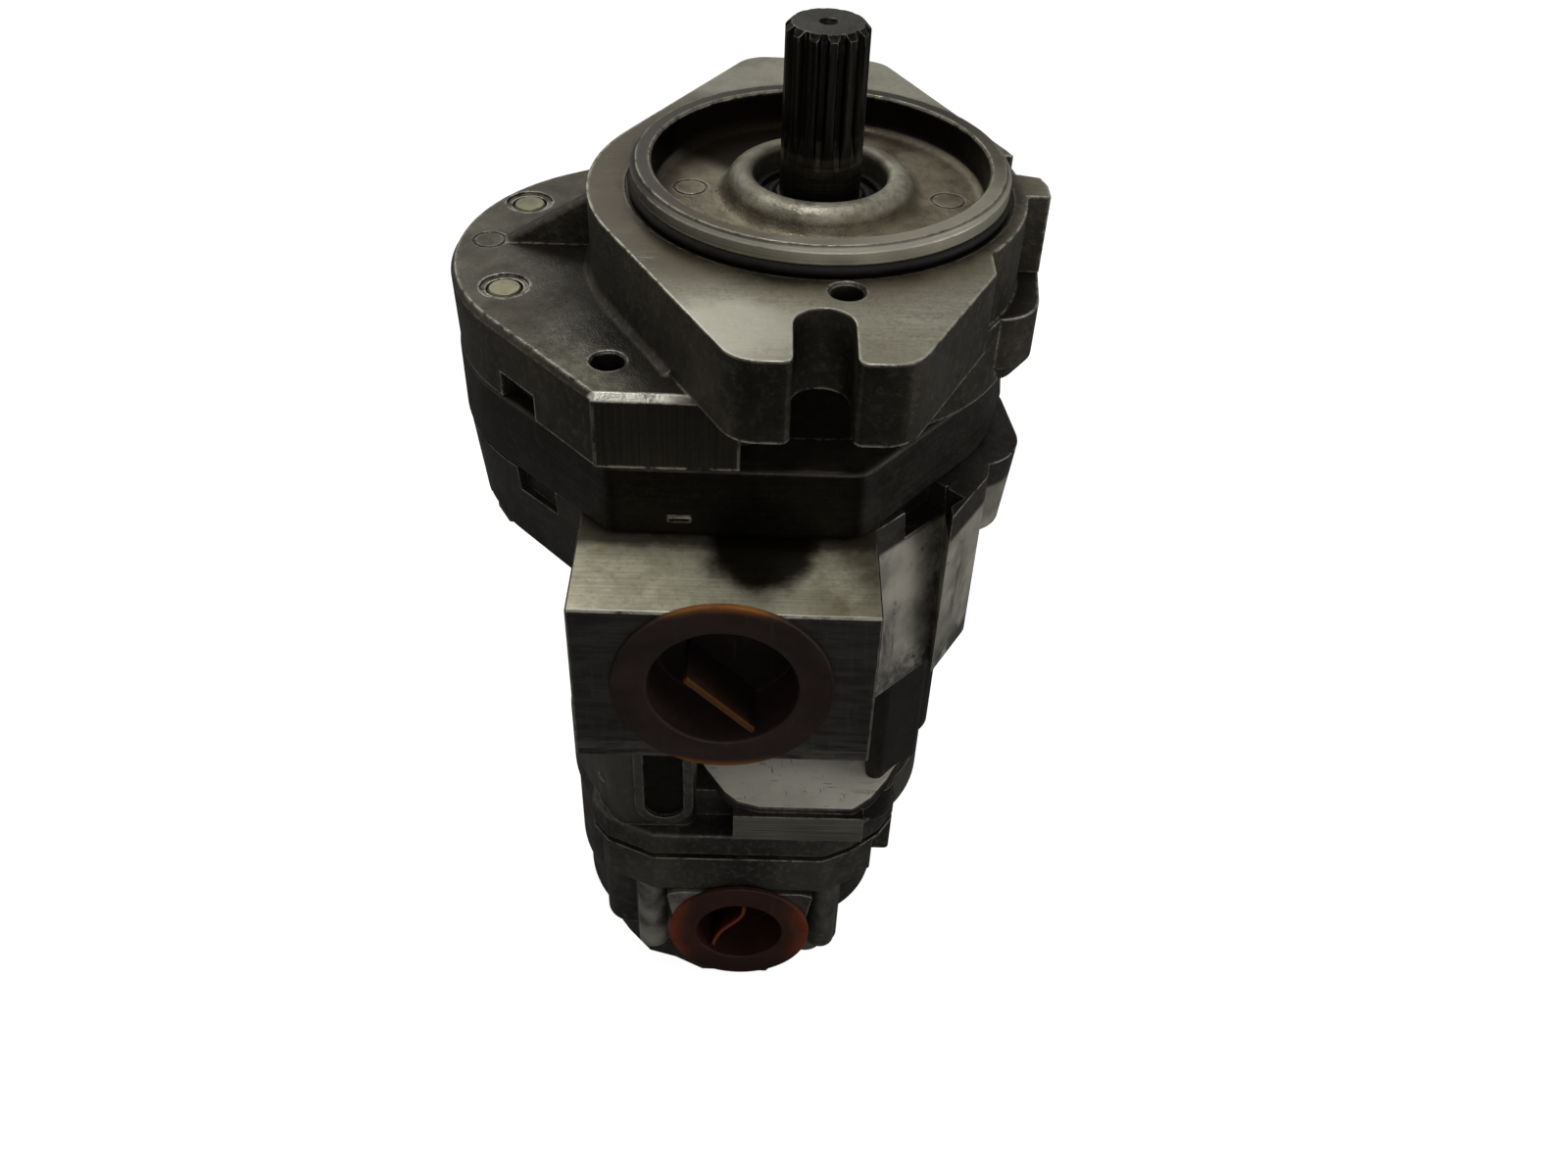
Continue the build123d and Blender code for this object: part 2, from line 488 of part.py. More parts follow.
rear_gear_case = rear_gear_case - ycyl(rear_port_x, rear_port_z, rear_face_y - 1, -34, rear_port_r)
rear_gear_case = rear_gear_case - ycyl(rear_port_x, rear_port_z, -36, -6, 8.0)
rear_gear_case = rear_gear_case - ycyl(rear_port_x, rear_port_z, 40, 65, 9.5)
rear_gear_case = rear_gear_case - ycyl(rear_port_x, rear_port_z, 6, 41, 6.5)

# rear cover with blind bearing bores
cover_front = [(-63, -34), (-57.9, -41), (-49.6, -49.8), (-40.1, -52.4), (-29.8, -57.4), (-6.2, -57.8), (-1.7, -52.9),
               (10, -47.0), (16, -44.5), (19.8, -36)]
cover_rear2d = make_face(Polyline(*(cover_front + [(px, -py) for px, py in reversed(cover_front)]), close=True))
cover_rear2d = cover_rear2d + hull([(-33, 0, 42.8), (0, 0, 34.6)])
rear_cover = slab(cover_rear2d, z_base, z_joint6)
rear_cover = soften(rear_cover, at_z(rear_cover, z_base), (1.5, 1.0))
for ax in (0, -cd_rear):
    rear_cover = rear_cover - cyl(ax, 0, z_joint6 - 14.0, z_joint6 + 1, rear_bush_outer_r)
rear_cover_seal = ring_seal(cd_rear, 21.5, 23.8, z_joint6 - 2.0, z_joint6)
rear_cover = rear_cover - rear_cover_seal
for bx, by in rear_bolts_xy:
    rear_gear_case = rear_gear_case - cyl(bx, by, z_joint6 - 1, z_joint5 + 1, rear_bolt_r + 0.3)
    rear_cover = rear_cover - cyl(bx, by, z_base - 1, z_joint6 + 1, rear_bolt_r + 0.3)
    rear_cover = rear_cover - cyl(bx, by, z_base - 1, z_base + 9.5, 7.5)
for dx, dy in dowel_rear_xy:
    rear_gear_case = rear_gear_case - cyl(dx, dy, z_joint5 - 7, z_joint5 + 1, dowel_r)

# ---------------------------------------------------------------------------
# rotating group, front
# ---------------------------------------------------------------------------
g_top = z_joint2 - front_plate_t - axial_gap
g_bot = z_joint3 + front_plate_t + axial_gap
front_profile = gear_profile(front_teeth, front_module, 25.0, 25.98, 16.9, 0.36, 180.0)
front_gear = Pos(0, 0, g_bot) * extrude(front_profile, g_top - g_bot)

drive_shaft = cyl(0, 0, -2.0, shaft_tip_z, spline_major_r)
drive_shaft = soften(drive_shaft, at_z(drive_shaft, shaft_tip_z), (1.5,), "chamfer")
# spline spaces, each running out in a pointed arch above the seal
pa30 = math.radians(30.0)
rp_s = spline_teeth * spline_module / 2.0
rb_s = rp_s * math.cos(pa30)
half_s = (math.pi * spline_module / 2.0) / (2 * rp_s)
def tooth_half(r):
    return half_s + inv(pa30) - inv(math.acos(min(1.0, rb_s / r)))
step = 2 * math.pi / spline_teeth
def space_pts(grow_r, z):
    pts = []
    for r in (spline_minor_r, 9.7, 10.2, 10.6, 11.3):
        a = step / 2 - tooth_half(max(r, rb_s + 0.01))
        pts.append(((r + grow_r) * math.cos(-a), r * math.sin(-a)))
    for r in (11.3, 10.6, 10.2, 9.7, spline_minor_r):
        a = step / 2 - tooth_half(max(r, rb_s + 0.01))
        pts.append(((r + grow_r) * math.cos(a), r * math.sin(a)))
    return [Vector(px, py, z) for px, py in pts]
z_run = 16.0
lower = Face(Wire.make_polygon(space_pts(1.95, z_run - 9.0)))
middle = Face(Wire.make_polygon(space_pts(0.0, z_run)))
space = extrude(middle, shaft_tip_z - z_run + 1, dir=(0, 0, 1))
runout = loft([lower, middle], ruled=True)
for k in range(spline_teeth):
    a = math.degrees(step) * (k + 0.5)
    drive_shaft = drive_shaft - (Rot(0, 0, a) * space) - (Rot(0, 0, a) * runout)
# centre drill in the tip
drill = Pos(0, 0, shaft_tip_z - 2.6) * Cone(0.05, 2.7, 2.7, align=(Align.CENTER, Align.CENTER, Align.MIN))
drive_shaft = drive_shaft - drill - cyl(0, 0, shaft_tip_z - 6, shaft_tip_z - 1, 1.2)
journal_top = cyl(0, 0, g_top - 0.5, -2.0, journal_r)
journal_top = soften(journal_top, at_z(journal_top, -2.0), (1.0,), "chamfer")
drive_shaft = drive_shaft + journal_top + front_gear + cyl(0, 0, -146.0, g_bot + 0.5, journal_r)
drive_shaft = drive_shaft + toothed_stub(0, 0, -160.0, -145.5, 12, 9.0, 7.6, 0.5)
front_driven_gear = (Pos(-cd_front, 0, 0) * front_gear) + cyl(-cd_front, 0, g_top - 0.5, z_joint1 - 1.5, journal_r) \
    + cyl(-cd_front, 0, -145.5, g_bot + 0.5, journal_r)

# ---------------------------------------------------------------------------
# rotating group, rear
# ---------------------------------------------------------------------------
rg_top = z_joint5 - rear_plate_t - axial_gap
rg_bot = z_joint6 + rear_plate_t + axial_gap
rear_profile = gear_profile(rear_teeth, rear_module, 25.0, 19.48, 12.65, 0.30, 180.0)
rear_gear = Pos(0, 0, rg_bot) * extrude(rear_profile, rg_top - rg_bot)
rear_drive_gear = rear_gear + cyl(0, 0, rg_top - 0.5, -180.0, rear_journal_r) + cyl(0, 0, z_joint6 - 13.0, rg_bot + 0.5, rear_journal_r)
rear_drive_gear = rear_drive_gear + toothed_stub(0, 0, -180.5, -166.0, 12, 9.0, 7.6, 0.5)
rear_driven_gear = (Pos(-cd_rear, 0, 0) * rear_gear) + cyl(-cd_rear, 0, rg_top - 0.5, -201.0, rear_journal_r) \
    + cyl(-cd_rear, 0, z_joint6 - 13.0, rg_bot + 0.5, rear_journal_r)
coupling_sleeve = cyl(0, 0, -179.5, -146.6, 13.5)
coupling_sleeve = soften(coupling_sleeve, at_z(coupling_sleeve, -146.6) + at_z(coupling_sleeve, -179.5), (1.0,), "chamfer")
coupling_sleeve = coupling_sleeve - toothed_stub(0, 0, -181, -145, 12, 9.0, 7.6, 0.5, grow=0.06)

# ---------------------------------------------------------------------------
# bushes, pressure plates, seals
# ---------------------------------------------------------------------------
def bush(x, z0, z1, ro, ri):
    b = cyl(x, 0, z0, z1, ro) - cyl(x, 0, z0 - 1, z1 + 1, ri)
    return b
front_bushes = [bush(0, z_joint2, z_joint1, bush_outer_r, bush_inner_r), bush(-cd_front, z_joint2, z_joint1, bush_outer_r, bush_inner_r),
                bush(0, -146.0, z_joint3, bush_outer_r, bush_inner_r), bush(-cd_front, -146.0, z_joint3, bush_outer_r, bush_inner_r)]
rear_bushes = [bush(0, z_joint5, z_joint4, rear_bush_outer_r, rear_bush_inner_r), bush(-cd_rear, z_joint5, z_joint4, rear_bush_outer_r, rear_bush_inner_r),
               bush(0, z_joint6 - 14.0, z_joint6, rear_bush_outer_r, rear_bush_inner_r), bush(-cd_rear, z_joint6 - 14.0, z_joint6, rear_bush_outer_r, rear_bush_inner_r)]

def pressure_plate(cd, r, bore, z0, z1):
    p = cyl(0, 0, z0, z1, r) + cyl(-cd, 0, z0, z1, r)
    p = p - cyl(0, 0, z0 - 1, z1 + 1, bore) - cyl(-cd, 0, z0 - 1, z1 + 1, bore)
    # relief pockets across the mesh line
    p = p - box(-cd / 2 - 5, -cd / 2 + 5, 4, 9, z0 - 1, z0 + 1.5) - box(-cd / 2 - 5, -cd / 2 + 5, -9, -4, z0 - 1, z0 + 1.5)
    return p
front_upper_plate = pressure_plate(cd_front, front_plate_r, journal_r + 0.3, z_joint2 - front_plate_t, z_joint2)
front_lower_plate = pressure_plate(cd_front, front_plate_r, journal_r + 0.3, z_joint3, z_joint3 + front_plate_t)
rear_upper_plate = pressure_plate(cd_rear, rear_plate_r, rear_journal_r + 0.3, z_joint5 - rear_plate_t, z_joint5)
rear_lower_plate = pressure_plate(cd_rear, rear_plate_r, rear_journal_r + 0.3, z_joint6, z_joint6 + rear_plate_t)

pilot_o_ring = Pos(0, 0, 1.55) * Torus(50.12, 1.48)
shaft_seal = cyl(0, 0, -13.9, -2.6, seal_bore_r) - cyl(0, 0, -15, 0, journal_r + 0.06)
shaft_seal = shaft_seal - (cyl(0, 0, -4.4, 0, 16.4) - cyl(0, 0, -5, 1, 14.2))
lip = [e for e in at_z(shaft_seal, -2.6) if e.length < 2 * math.pi * 14.5]
shaft_seal = soften(shaft_seal, lip, (0.6,))

# ---------------------------------------------------------------------------
# fasteners
# ---------------------------------------------------------------------------
def hex_bolt(x, y, z_head, z_tip, r, af, head_h, washer_r, washer_t):
    # head below, thread up
    head = Pos(x, y, z_head - washer_t - head_h) * extrude(RegularPolygon(af / 2, 6, major_radius=False), head_h)
    head = soften(head, at_z(head, z_head - washer_t - head_h), (0.9,), "chamfer")
    shank = cyl(x, y, z_head - washer_t - 0.5, z_tip, r)
    shank = soften(shank, at_z(shank, z_tip), (0.9,), "chamfer")
    return head + shank

case_bolts = []
case_washers = []
seat = z_lug + 1.5
for i, (bx, by) in enumerate(case_bolts_xy):
    tip = -22.9 if i < 2 else -29.0
    case_bolts.append(hex_bolt(bx, by, seat, tip, bolt_r, 15.0, 6.0, 8.8, 1.8))
    w = cyl(bx, by, seat - 1.8, seat, 8.8) - cyl(bx, by, seat - 3, seat + 1, bolt_r + 0.25)
    case_washers.append(w)

def cap_screw(x, y, z_seat, z_tip, r, head_r, head_h, sock_af):
    head = cyl(x, y, z_seat - head_h, z_seat, head_r)
    head = soften(head, at_z(head, z_seat - head_h), (0.6,), "chamfer")
    sock = Pos(x, y, z_seat - head_h - 0.5) * extrude(RegularPolygon(sock_af / 2, 6, major_radius=False), head_h * 0.55 + 0.5)
    return head + cyl(x, y, z_seat - 0.5, z_tip, r) - sock

center_screws = [cap_screw(bx, by, z_joint4 + 9.0, z_joint3 + 16.0, center_screw_r, 6.5, 8.0, 6.0) for bx, by in center_screws_xy]
rear_bolts = [cap_screw(bx, by, z_base + 9.5, -187.5, rear_bolt_r, 7.2, 8.6, 8.0) for bx, by in rear_bolts_xy]
dowels = [cyl(dx, dy, z_joint2 - 8, z_joint1 + 8, dowel_r) for dx, dy in dowel_front_xy]
dowels += [cyl(dx, dy, z_joint5 - 7, z_joint4 + 6, dowel_r) for dx, dy in dowel_rear_xy]


# ---------------------------------------------------------------------------
# plastic port caps pushed into the two inlets
# ---------------------------------------------------------------------------
def port_cap(px, pz, face_y, flange_r, rim_t, cup_r, inner_r, depth, web_t, web_pts):
    # built along +Z (mouth at z = rim_t), then turned to face -Y
    cap = cyl(0, 0, 0, rim_t, flange_r)
    cap = soften(cap, at_z(cap, rim_t), (0.6,))
    cap = cap + cyl(0, 0, -depth, 0.5, cup_r)
    cap = cap - cyl(0, 0, -depth + 1.8, 3, inner_r)
    cap = soften(cap, [e for e in at_z(cap, rim_t) if abs(e.length - 2 * math.pi * inner_r) < 1], (0.9, 0.6))
    # finger web standing on the floor of the cup
    path = Spline(*web_pts) if len(web_pts) > 2 else Line(*web_pts)
    web = Pos(0, 0, -depth + 1.0) * extrude(trace(path, web_t), depth - 1.5)
    cap = cap + web
    return Pos(px, face_y, pz) * Rot(90, 0, 0) * cap

port_cap_front = port_cap(front_port_x, front_port_z, front_face_y, 29.0, 1.4, front_port_r - 0.05, 19.6, 18.0, 1.2,
                          [(-9.7, 1.2), (8.2, -17.2)])
port_cap_rear = port_cap(rear_port_x, rear_port_z, rear_face_y, 24.0, 1.6, rear_port_r - 0.05, 14.6, 16.0, 1.1,
                         [(-9.0, -10.9), (-7.8, -6.0), (-5.0, -0.9), (-1.9, 2.6), (0.7, 6.4), (1.5, 11.6)])

# ---------------------------------------------------------------------------
# write every piece
# ---------------------------------------------------------------------------
nodes = {
    "front_cover": front_cover,
    "pilot_o_ring": pilot_o_ring,
    "shaft_seal": shaft_seal,
    "cover_joint_seal": cover_seal,
    "front_bearing_plate": front_bearing_plate,
    "plate_joint_seal": plate_seal,
    "front_bearing_bushes": front_bushes,
    "front_gear_case": front_gear_case,
    "front_upper_pressure_plate": front_upper_plate,
    "front_lower_pressure_plate": front_lower_plate,
    "drive_shaft_gear": drive_shaft,
    "front_driven_gear": front_driven_gear,
    "center_joint_seal": center_seal,
    "center_housing": center_housing,
    "coupling_sleeve": coupling_sleeve,
    "rear_upper_joint_seal": rear_upper_seal,
    "rear_bearing_plate": rear_bearing_plate,
    "rear_lower_joint_seal": rear_lower_seal,
    "rear_bearing_bushes": rear_bushes,
    "rear_gear_case": rear_gear_case,
    "rear_cover_seal": rear_cover_seal,
    "rear_cover": rear_cover,
    "rear_upper_pressure_plate": rear_upper_plate,
    "rear_lower_pressure_plate": rear_lower_plate,
    "rear_drive_gear": rear_drive_gear,
    "rear_driven_gear": rear_driven_gear,
    "case_bolts": case_bolts,
    "case_bolt_washers": case_washers,
    "center_screws": center_screws,
    "rear_tie_bolts": rear_bolts,
    "dowel_pins": dowels,
    "front_port_cap": port_cap_front,
    "rear_port_cap": port_cap_rear,
}

for name, shape in nodes.items():
    if isinstance(shape, list):
        shape = Compound(children=[Part(s.wrapped) if not isinstance(s, Part) else s for s in shape])
    print(name, round(shape.volume, 1), len(shape.solids()))
    export_step(shape, "parts/" + name + ".step")
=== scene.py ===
import math
import bpy
from mathutils import Matrix, Vector

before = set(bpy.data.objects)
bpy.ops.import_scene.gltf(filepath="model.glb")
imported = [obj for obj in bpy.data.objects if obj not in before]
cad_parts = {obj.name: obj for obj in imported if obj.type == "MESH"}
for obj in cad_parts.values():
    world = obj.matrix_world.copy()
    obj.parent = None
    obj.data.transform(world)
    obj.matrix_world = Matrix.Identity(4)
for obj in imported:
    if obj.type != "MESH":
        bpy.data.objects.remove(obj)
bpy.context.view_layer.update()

# ---------------------------------------------------------------------------
# node helpers
# ---------------------------------------------------------------------------
class G:
    """Small builder round one material's node tree."""

    def __init__(self, name):
        self.mat = bpy.data.materials.new(name)
        self.mat.use_nodes = True
        self.nt = self.mat.node_tree
        self.nt.nodes.clear()
        self.out = self.nt.nodes.new("ShaderNodeOutputMaterial")
        self.bsdf = self.nt.nodes.new("ShaderNodeBsdfPrincipled")
        self.nt.links.new(self.bsdf.outputs[0], self.out.inputs[0])
        self.geo = self.nt.nodes.new("ShaderNodeNewGeometry")
        self.tc = self.nt.nodes.new("ShaderNodeTexCoord")
        self.pos = self.tc.outputs["Object"]
        self.nrm = self.tc.outputs["Normal"]
        self._sep = None
        self._nsep = None

    def put(self, sock, v):
        if hasattr(v, "is_linked") or isinstance(v, bpy.types.NodeSocket):
            self.nt.links.new(v, sock)
        else:
            if sock.type == "RGBA" and isinstance(v, (tuple, list)) and len(v) == 3:
                v = (*v, 1.0)
            sock.default_value = v

    def node(self, kind, **props):
        n = self.nt.nodes.new(kind)
        for k, v in props.items():
            setattr(n, k, v)
        return n

    def math(self, op, a, b=0.0, c=0.0, clamp=False):
        n = self.node("ShaderNodeMath", operation=op, use_clamp=clamp)
        self.put(n.inputs[0], a)
        self.put(n.inputs[1], b)
        self.put(n.inputs[2], c)
        return n.outputs[0]

    def add(self, a, b): return self.math("ADD", a, b)
    def sub(self, a, b): return self.math("SUBTRACT", a, b)
    def mul(self, a, b, clamp=False): return self.math("MULTIPLY", a, b, clamp=clamp)
    def inv(self, a): return self.math("SUBTRACT", 1.0, a, clamp=True)

    def xyz(self):
        if self._sep is None:
            n = self.node("ShaderNodeSeparateXYZ")
            self.nt.links.new(self.pos, n.inputs[0])
            self._sep = n.outputs
        return self._sep

    def n_xyz(self):
        if self._nsep is None:
            n = self.node("ShaderNodeSeparateXYZ")
            self.nt.links.new(self.geo.outputs["Normal"], n.inputs[0])
            self._nsep = n.outputs
        return self._nsep

    def ramp(self, fac, lo, hi, a=0.0, b=1.0, smooth=True):
        n = self.node("ShaderNodeMapRange", clamp=True, interpolation_type="SMOOTHSTEP" if smooth else "LINEAR")
        self.put(n.inputs["Value"], fac)
        n.inputs["From Min"].default_value = lo
        n.inputs["From Max"].default_value = hi
        n.inputs["To Min"].default_value = a
        n.inputs["To Max"].default_value = b
        return n.outputs["Result"]

    def vscale(self, s, loc=(0, 0, 0), rot=(0, 0, 0), vec=None):
        n = self.node("ShaderNodeMapping")
        self.put(n.inputs["Vector"], vec if vec is not None else self.pos)
        n.inputs["Scale"].default_value = s
        n.inputs["Location"].default_value = loc
        n.inputs["Rotation"].default_value = rot
        return n.outputs[0]

    def noise(self, scale, detail=4.0, rough=0.55, vec=None, dist=0.0, out="Fac"):
        n = self.node("ShaderNodeTexNoise")
        n.inputs["Scale"].default_value = scale
        n.inputs["Detail"].default_value = detail
        n.inputs["Roughness"].default_value = rough
        n.inputs["Distortion"].default_value = dist
        self.put(n.inputs["Vector"], vec if vec is not None else self.pos)
        return n.outputs[out]

    def voronoi(self, scale, vec=None, feature="F1", out="Distance", rnd=1.0):
        n = self.node("ShaderNodeTexVoronoi", feature=feature)
        n.inputs["Scale"].default_value = scale
        n.inputs["Randomness"].default_value = rnd
        self.put(n.inputs["Vector"], vec if vec is not None else self.pos)
        return n.outputs[out]

    def mix(self, fac, a, b, mode="MIX"):
        n = self.node("ShaderNodeMix", data_type="RGBA", blend_type=mode)
        self.put(n.inputs["Factor"], fac)
        self.put(n.inputs["A"], a) if False else self.put(n.inputs[6], a)
        self.put(n.inputs[7], b)
        return n.outputs[2]

    def fmix(self, fac, a, b):
        n = self.node("ShaderNodeMix", data_type="FLOAT")
        self.put(n.inputs[0], fac)
        self.put(n.inputs[2], a)
        self.put(n.inputs[3], b)
        return n.outputs[0]

    def edge(self, radius, lo, hi, samples=6):
        """Worn-edge mask from the difference of the bevelled and true normal, convex and concave alike."""
        bev = self.node("ShaderNodeBevel", samples=samples)
        bev.inputs["Radius"].default_value = radius
        d = self.node("ShaderNodeVectorMath", operation="DOT_PRODUCT")
        self.nt.links.new(bev.outputs[0], d.inputs[0])
        self.nt.links.new(self.geo.outputs["Normal"], d.inputs[1])
        return self.ramp(self.math("SUBTRACT", 1.0, d.outputs["Value"]), lo, hi)

    def cavity(self, dist, samples=6, inside=False):
        ao = self.node("ShaderNodeAmbientOcclusion", samples=samples, inside=inside, only_local=False)
        ao.inputs["Distance"].default_value = dist
        return ao.outputs["AO"]

    def bump(self, height, strength, distance, normal=None):
        n = self.node("ShaderNodeBump")
        n.inputs["Strength"].default_value = strength
        n.inputs["Distance"].default_value = distance
        self.put(n.inputs["Height"], height)
        if normal is not None:
            self.put(n.inputs["Normal"], normal)
        return n.outputs[0]

    def bevel_normal(self, radius, samples=6):
        n = self.node("ShaderNodeBevel", samples=samples)
        n.inputs["Radius"].default_value = radius
        return n.outputs[0]

    def band(self, v, lo, hi, soft):
        """1 inside lo..hi with soft shoulders."""
        return self.mul(self.ramp(v, lo - soft, lo + soft), self.ramp(v, hi - soft, hi + soft, 1.0, 0.0))

    def radius(self, cx=0.0, cy=0.0):
        o = self.xyz()
        dx = self.sub(o[0], cx)
        dy = self.sub(o[1], cy)
        return self.math("SQRT", self.add(self.mul(dx, dx), self.mul(dy, dy)))

    def finish(self, color, rough, metallic=1.0, normal=None, spec=0.5, coat=0.0):
        self.put(self.bsdf.inputs["Base Color"], color)
        self.put(self.bsdf.inputs["Roughness"], rough)
        self.put(self.bsdf.inputs["Metallic"], metallic)
        self.put(self.bsdf.inputs["Specular IOR Level"], spec)
        self.put(self.bsdf.inputs["Coat Weight"], coat)
        if normal is not None:
            self.put(self.bsdf.inputs["Normal"], normal)
        return self.mat


MM = 0.001


def cast_surface(g, dark, mid, grain=1.0, oil=0.5):
    """As-cast skin: sandy grain, blotchy oil film, fine pits."""
    big = g.noise(28.0, 5.0, 0.6)
    small = g.noise(420.0, 4.0, 0.65)
    fine = g.noise(1500.0, 2.0, 0.6)
    pits = g.ramp(g.voronoi(900.0), 0.0, 0.22, 1.0, 0.0)
    col = g.mix(g.ramp(big, 0.32, 0.68), dark, mid)
    col = g.mix(g.mul(g.ramp(small, 0.48, 0.70), 0.45), col, tuple(min(1.0, c * 1.9) for c in mid))
    col = g.mix(g.mul(pits, 0.50 * grain), col, tuple(c * 0.25 for c in dark))
    height = g.add(g.mul(small, 0.8), g.add(g.mul(fine, 0.4), g.mul(pits, -0.4)))
    rough = g.ramp(g.noise(60.0, 4.0, 0.6), 0.3, 0.7, 0.36, 0.60)
    return col, height, rough


def machined_surface(g, base, bright, direction=None, centre=None, pitch=0.6):
    """Cut face: fine tool lines, turned round a centre or straight across."""
    if centre is not None:
        r = g.radius(*centre)
        lines = g.math("SINE", g.mul(r, 2 * math.pi / (pitch * MM)))
        n = g.noise(900.0, 2.0, 0.5, vec=None)
        streak = g.noise(1.0, 5.0, 0.6, vec=g.combine(g.mul(r, 1800.0), 0.0, 0.0))
    else:
        lines = None
        s = {"x": (25.0, 1700.0, 1700.0), "y": (1700.0, 25.0, 1700.0), "z": (1700.0, 1700.0, 25.0)}[direction]
        streak = g.noise(1.0, 5.0, 0.62, vec=g.vscale(s))
    blot = g.noise(45.0, 5.0, 0.6)
    col = g.mix(g.ramp(streak, 0.3, 0.72), base, bright)
    col = g.mix(g.mul(g.ramp(blot, 0.42, 0.72), 0.45), col, tuple(c * 0.62 for c in base))
    return col, streak


def combine(self, x, y, z):
    n = self.node("ShaderNodeCombineXYZ")
    self.put(n.inputs[0], x)
    self.put(n.inputs[1], y)
    self.put(n.inputs[2], z)
    return n.outputs[0]


G.combine = combine


def casting(name, dark=(0.050, 0.046, 0.042), mid=(0.115, 0.107, 0.098), top_bright=None, front_bright=None,
            edge_col=(0.56, 0.53, 0.44), edge_r=1.1, tint=(0.17, 0.14, 0.09), extra=None, metal=0.70, edge_amt=0.85,
            cast_grain=0.34, brown=0.25):
    """Iron casting whose chosen regions are machined."""
    g = G(name)
    o = g.xyz()
    col, height, rough = cast_surface(g, dark, mid)
    # thin brown oil stain in random patches; the ambient-occlusion mask marks occluded hollows
    ao = g.cavity(0.014)
    hollow_darkening = g.mul(g.ramp(ao, 0.25, 0.85, 1.0, 0.0), g.ramp(g.noise(70.0, 5.0, 0.65), 0.30, 0.62))
    stain = g.ramp(g.noise(35.0, 6.0, 0.62, dist=0.4), 0.50, 0.72)
    col = g.mix(g.mul(stain, brown), col, tint)
    metal_v = metal
    bumpmul = cast_grain
    nrm = g.bevel_normal(0.5 * MM)
    machined = None
    g.chalky = None
    g.inky = None
    if extra is not None:
        col, rough, machined = extra(g, col, rough)
    if g.chalky is not None:
        metal_v = g.fmix(g.chalky, metal, 0.12)
    # regions painted near black, mostly painted shade, turn fully metallic so they take no diffuse light
    if g.inky is not None:
        metal_v = g.fmix(g.inky, metal_v, 1.0)
    # darker in occluded hollows, from the ambient-occlusion mask
    col = g.mix(g.mul(hollow_darkening, 0.75), col, (0.020, 0.016, 0.012))
    # worn bright edges, broken up
    e = g.edge(edge_r * MM, 0.014, 0.11)
    brk = g.ramp(g.noise(260.0, 5.0, 0.7), 0.37, 0.56)
    e = g.mul(g.mul(e, brk), edge_amt)
    e = g.mul(e, g.ramp(ao, 0.35, 0.75))
    col = g.mix(e, col, edge_col)
    rough = g.fmix(e, rough, 0.30)
    hm = height if machined is None else g.mul(height, g.ramp(machined, 0.0, 1.0, 1.0, 0.12))
    # dings and scratches
    scratch = g.ramp(g.voronoi(90.0, vec=g.vscale((1.0, 6.0, 2.0), rot=(0.3, 0.5, 0.9)), feature="DISTANCE_TO_EDGE"), 0.0, 0.010, 1.0, 0.0)
    scratch = g.mul(scratch, g.ramp(g.noise(40.0, 3.0, 0.5), 0.60, 0.72))
    scratch = g.mul(scratch, g.ramp(g.noise(230.0, 3.0, 0.6), 0.42, 0.58))
    if g.inky is not None:
        scratch = g.mul(scratch, g.inv(g.inky))
    col = g.mix(g.mul(scratch, 0.35), col, edge_col)
    n1 = g.bump(hm, cast_grain, 0.0006, normal=nrm)
    n2 = g.bump(scratch, 0.12, 0.0003, normal=n1)
    return g.finish(col, rough, metallic=metal_v, normal=n2)


# ---------------------------------------------------------------------------
# region recipes (object space, metres)
# ---------------------------------------------------------------------------
TOP_BASE = (0.31, 0.295, 0.222)
TOP_BRIGHT = (0.50, 0.48, 0.375)


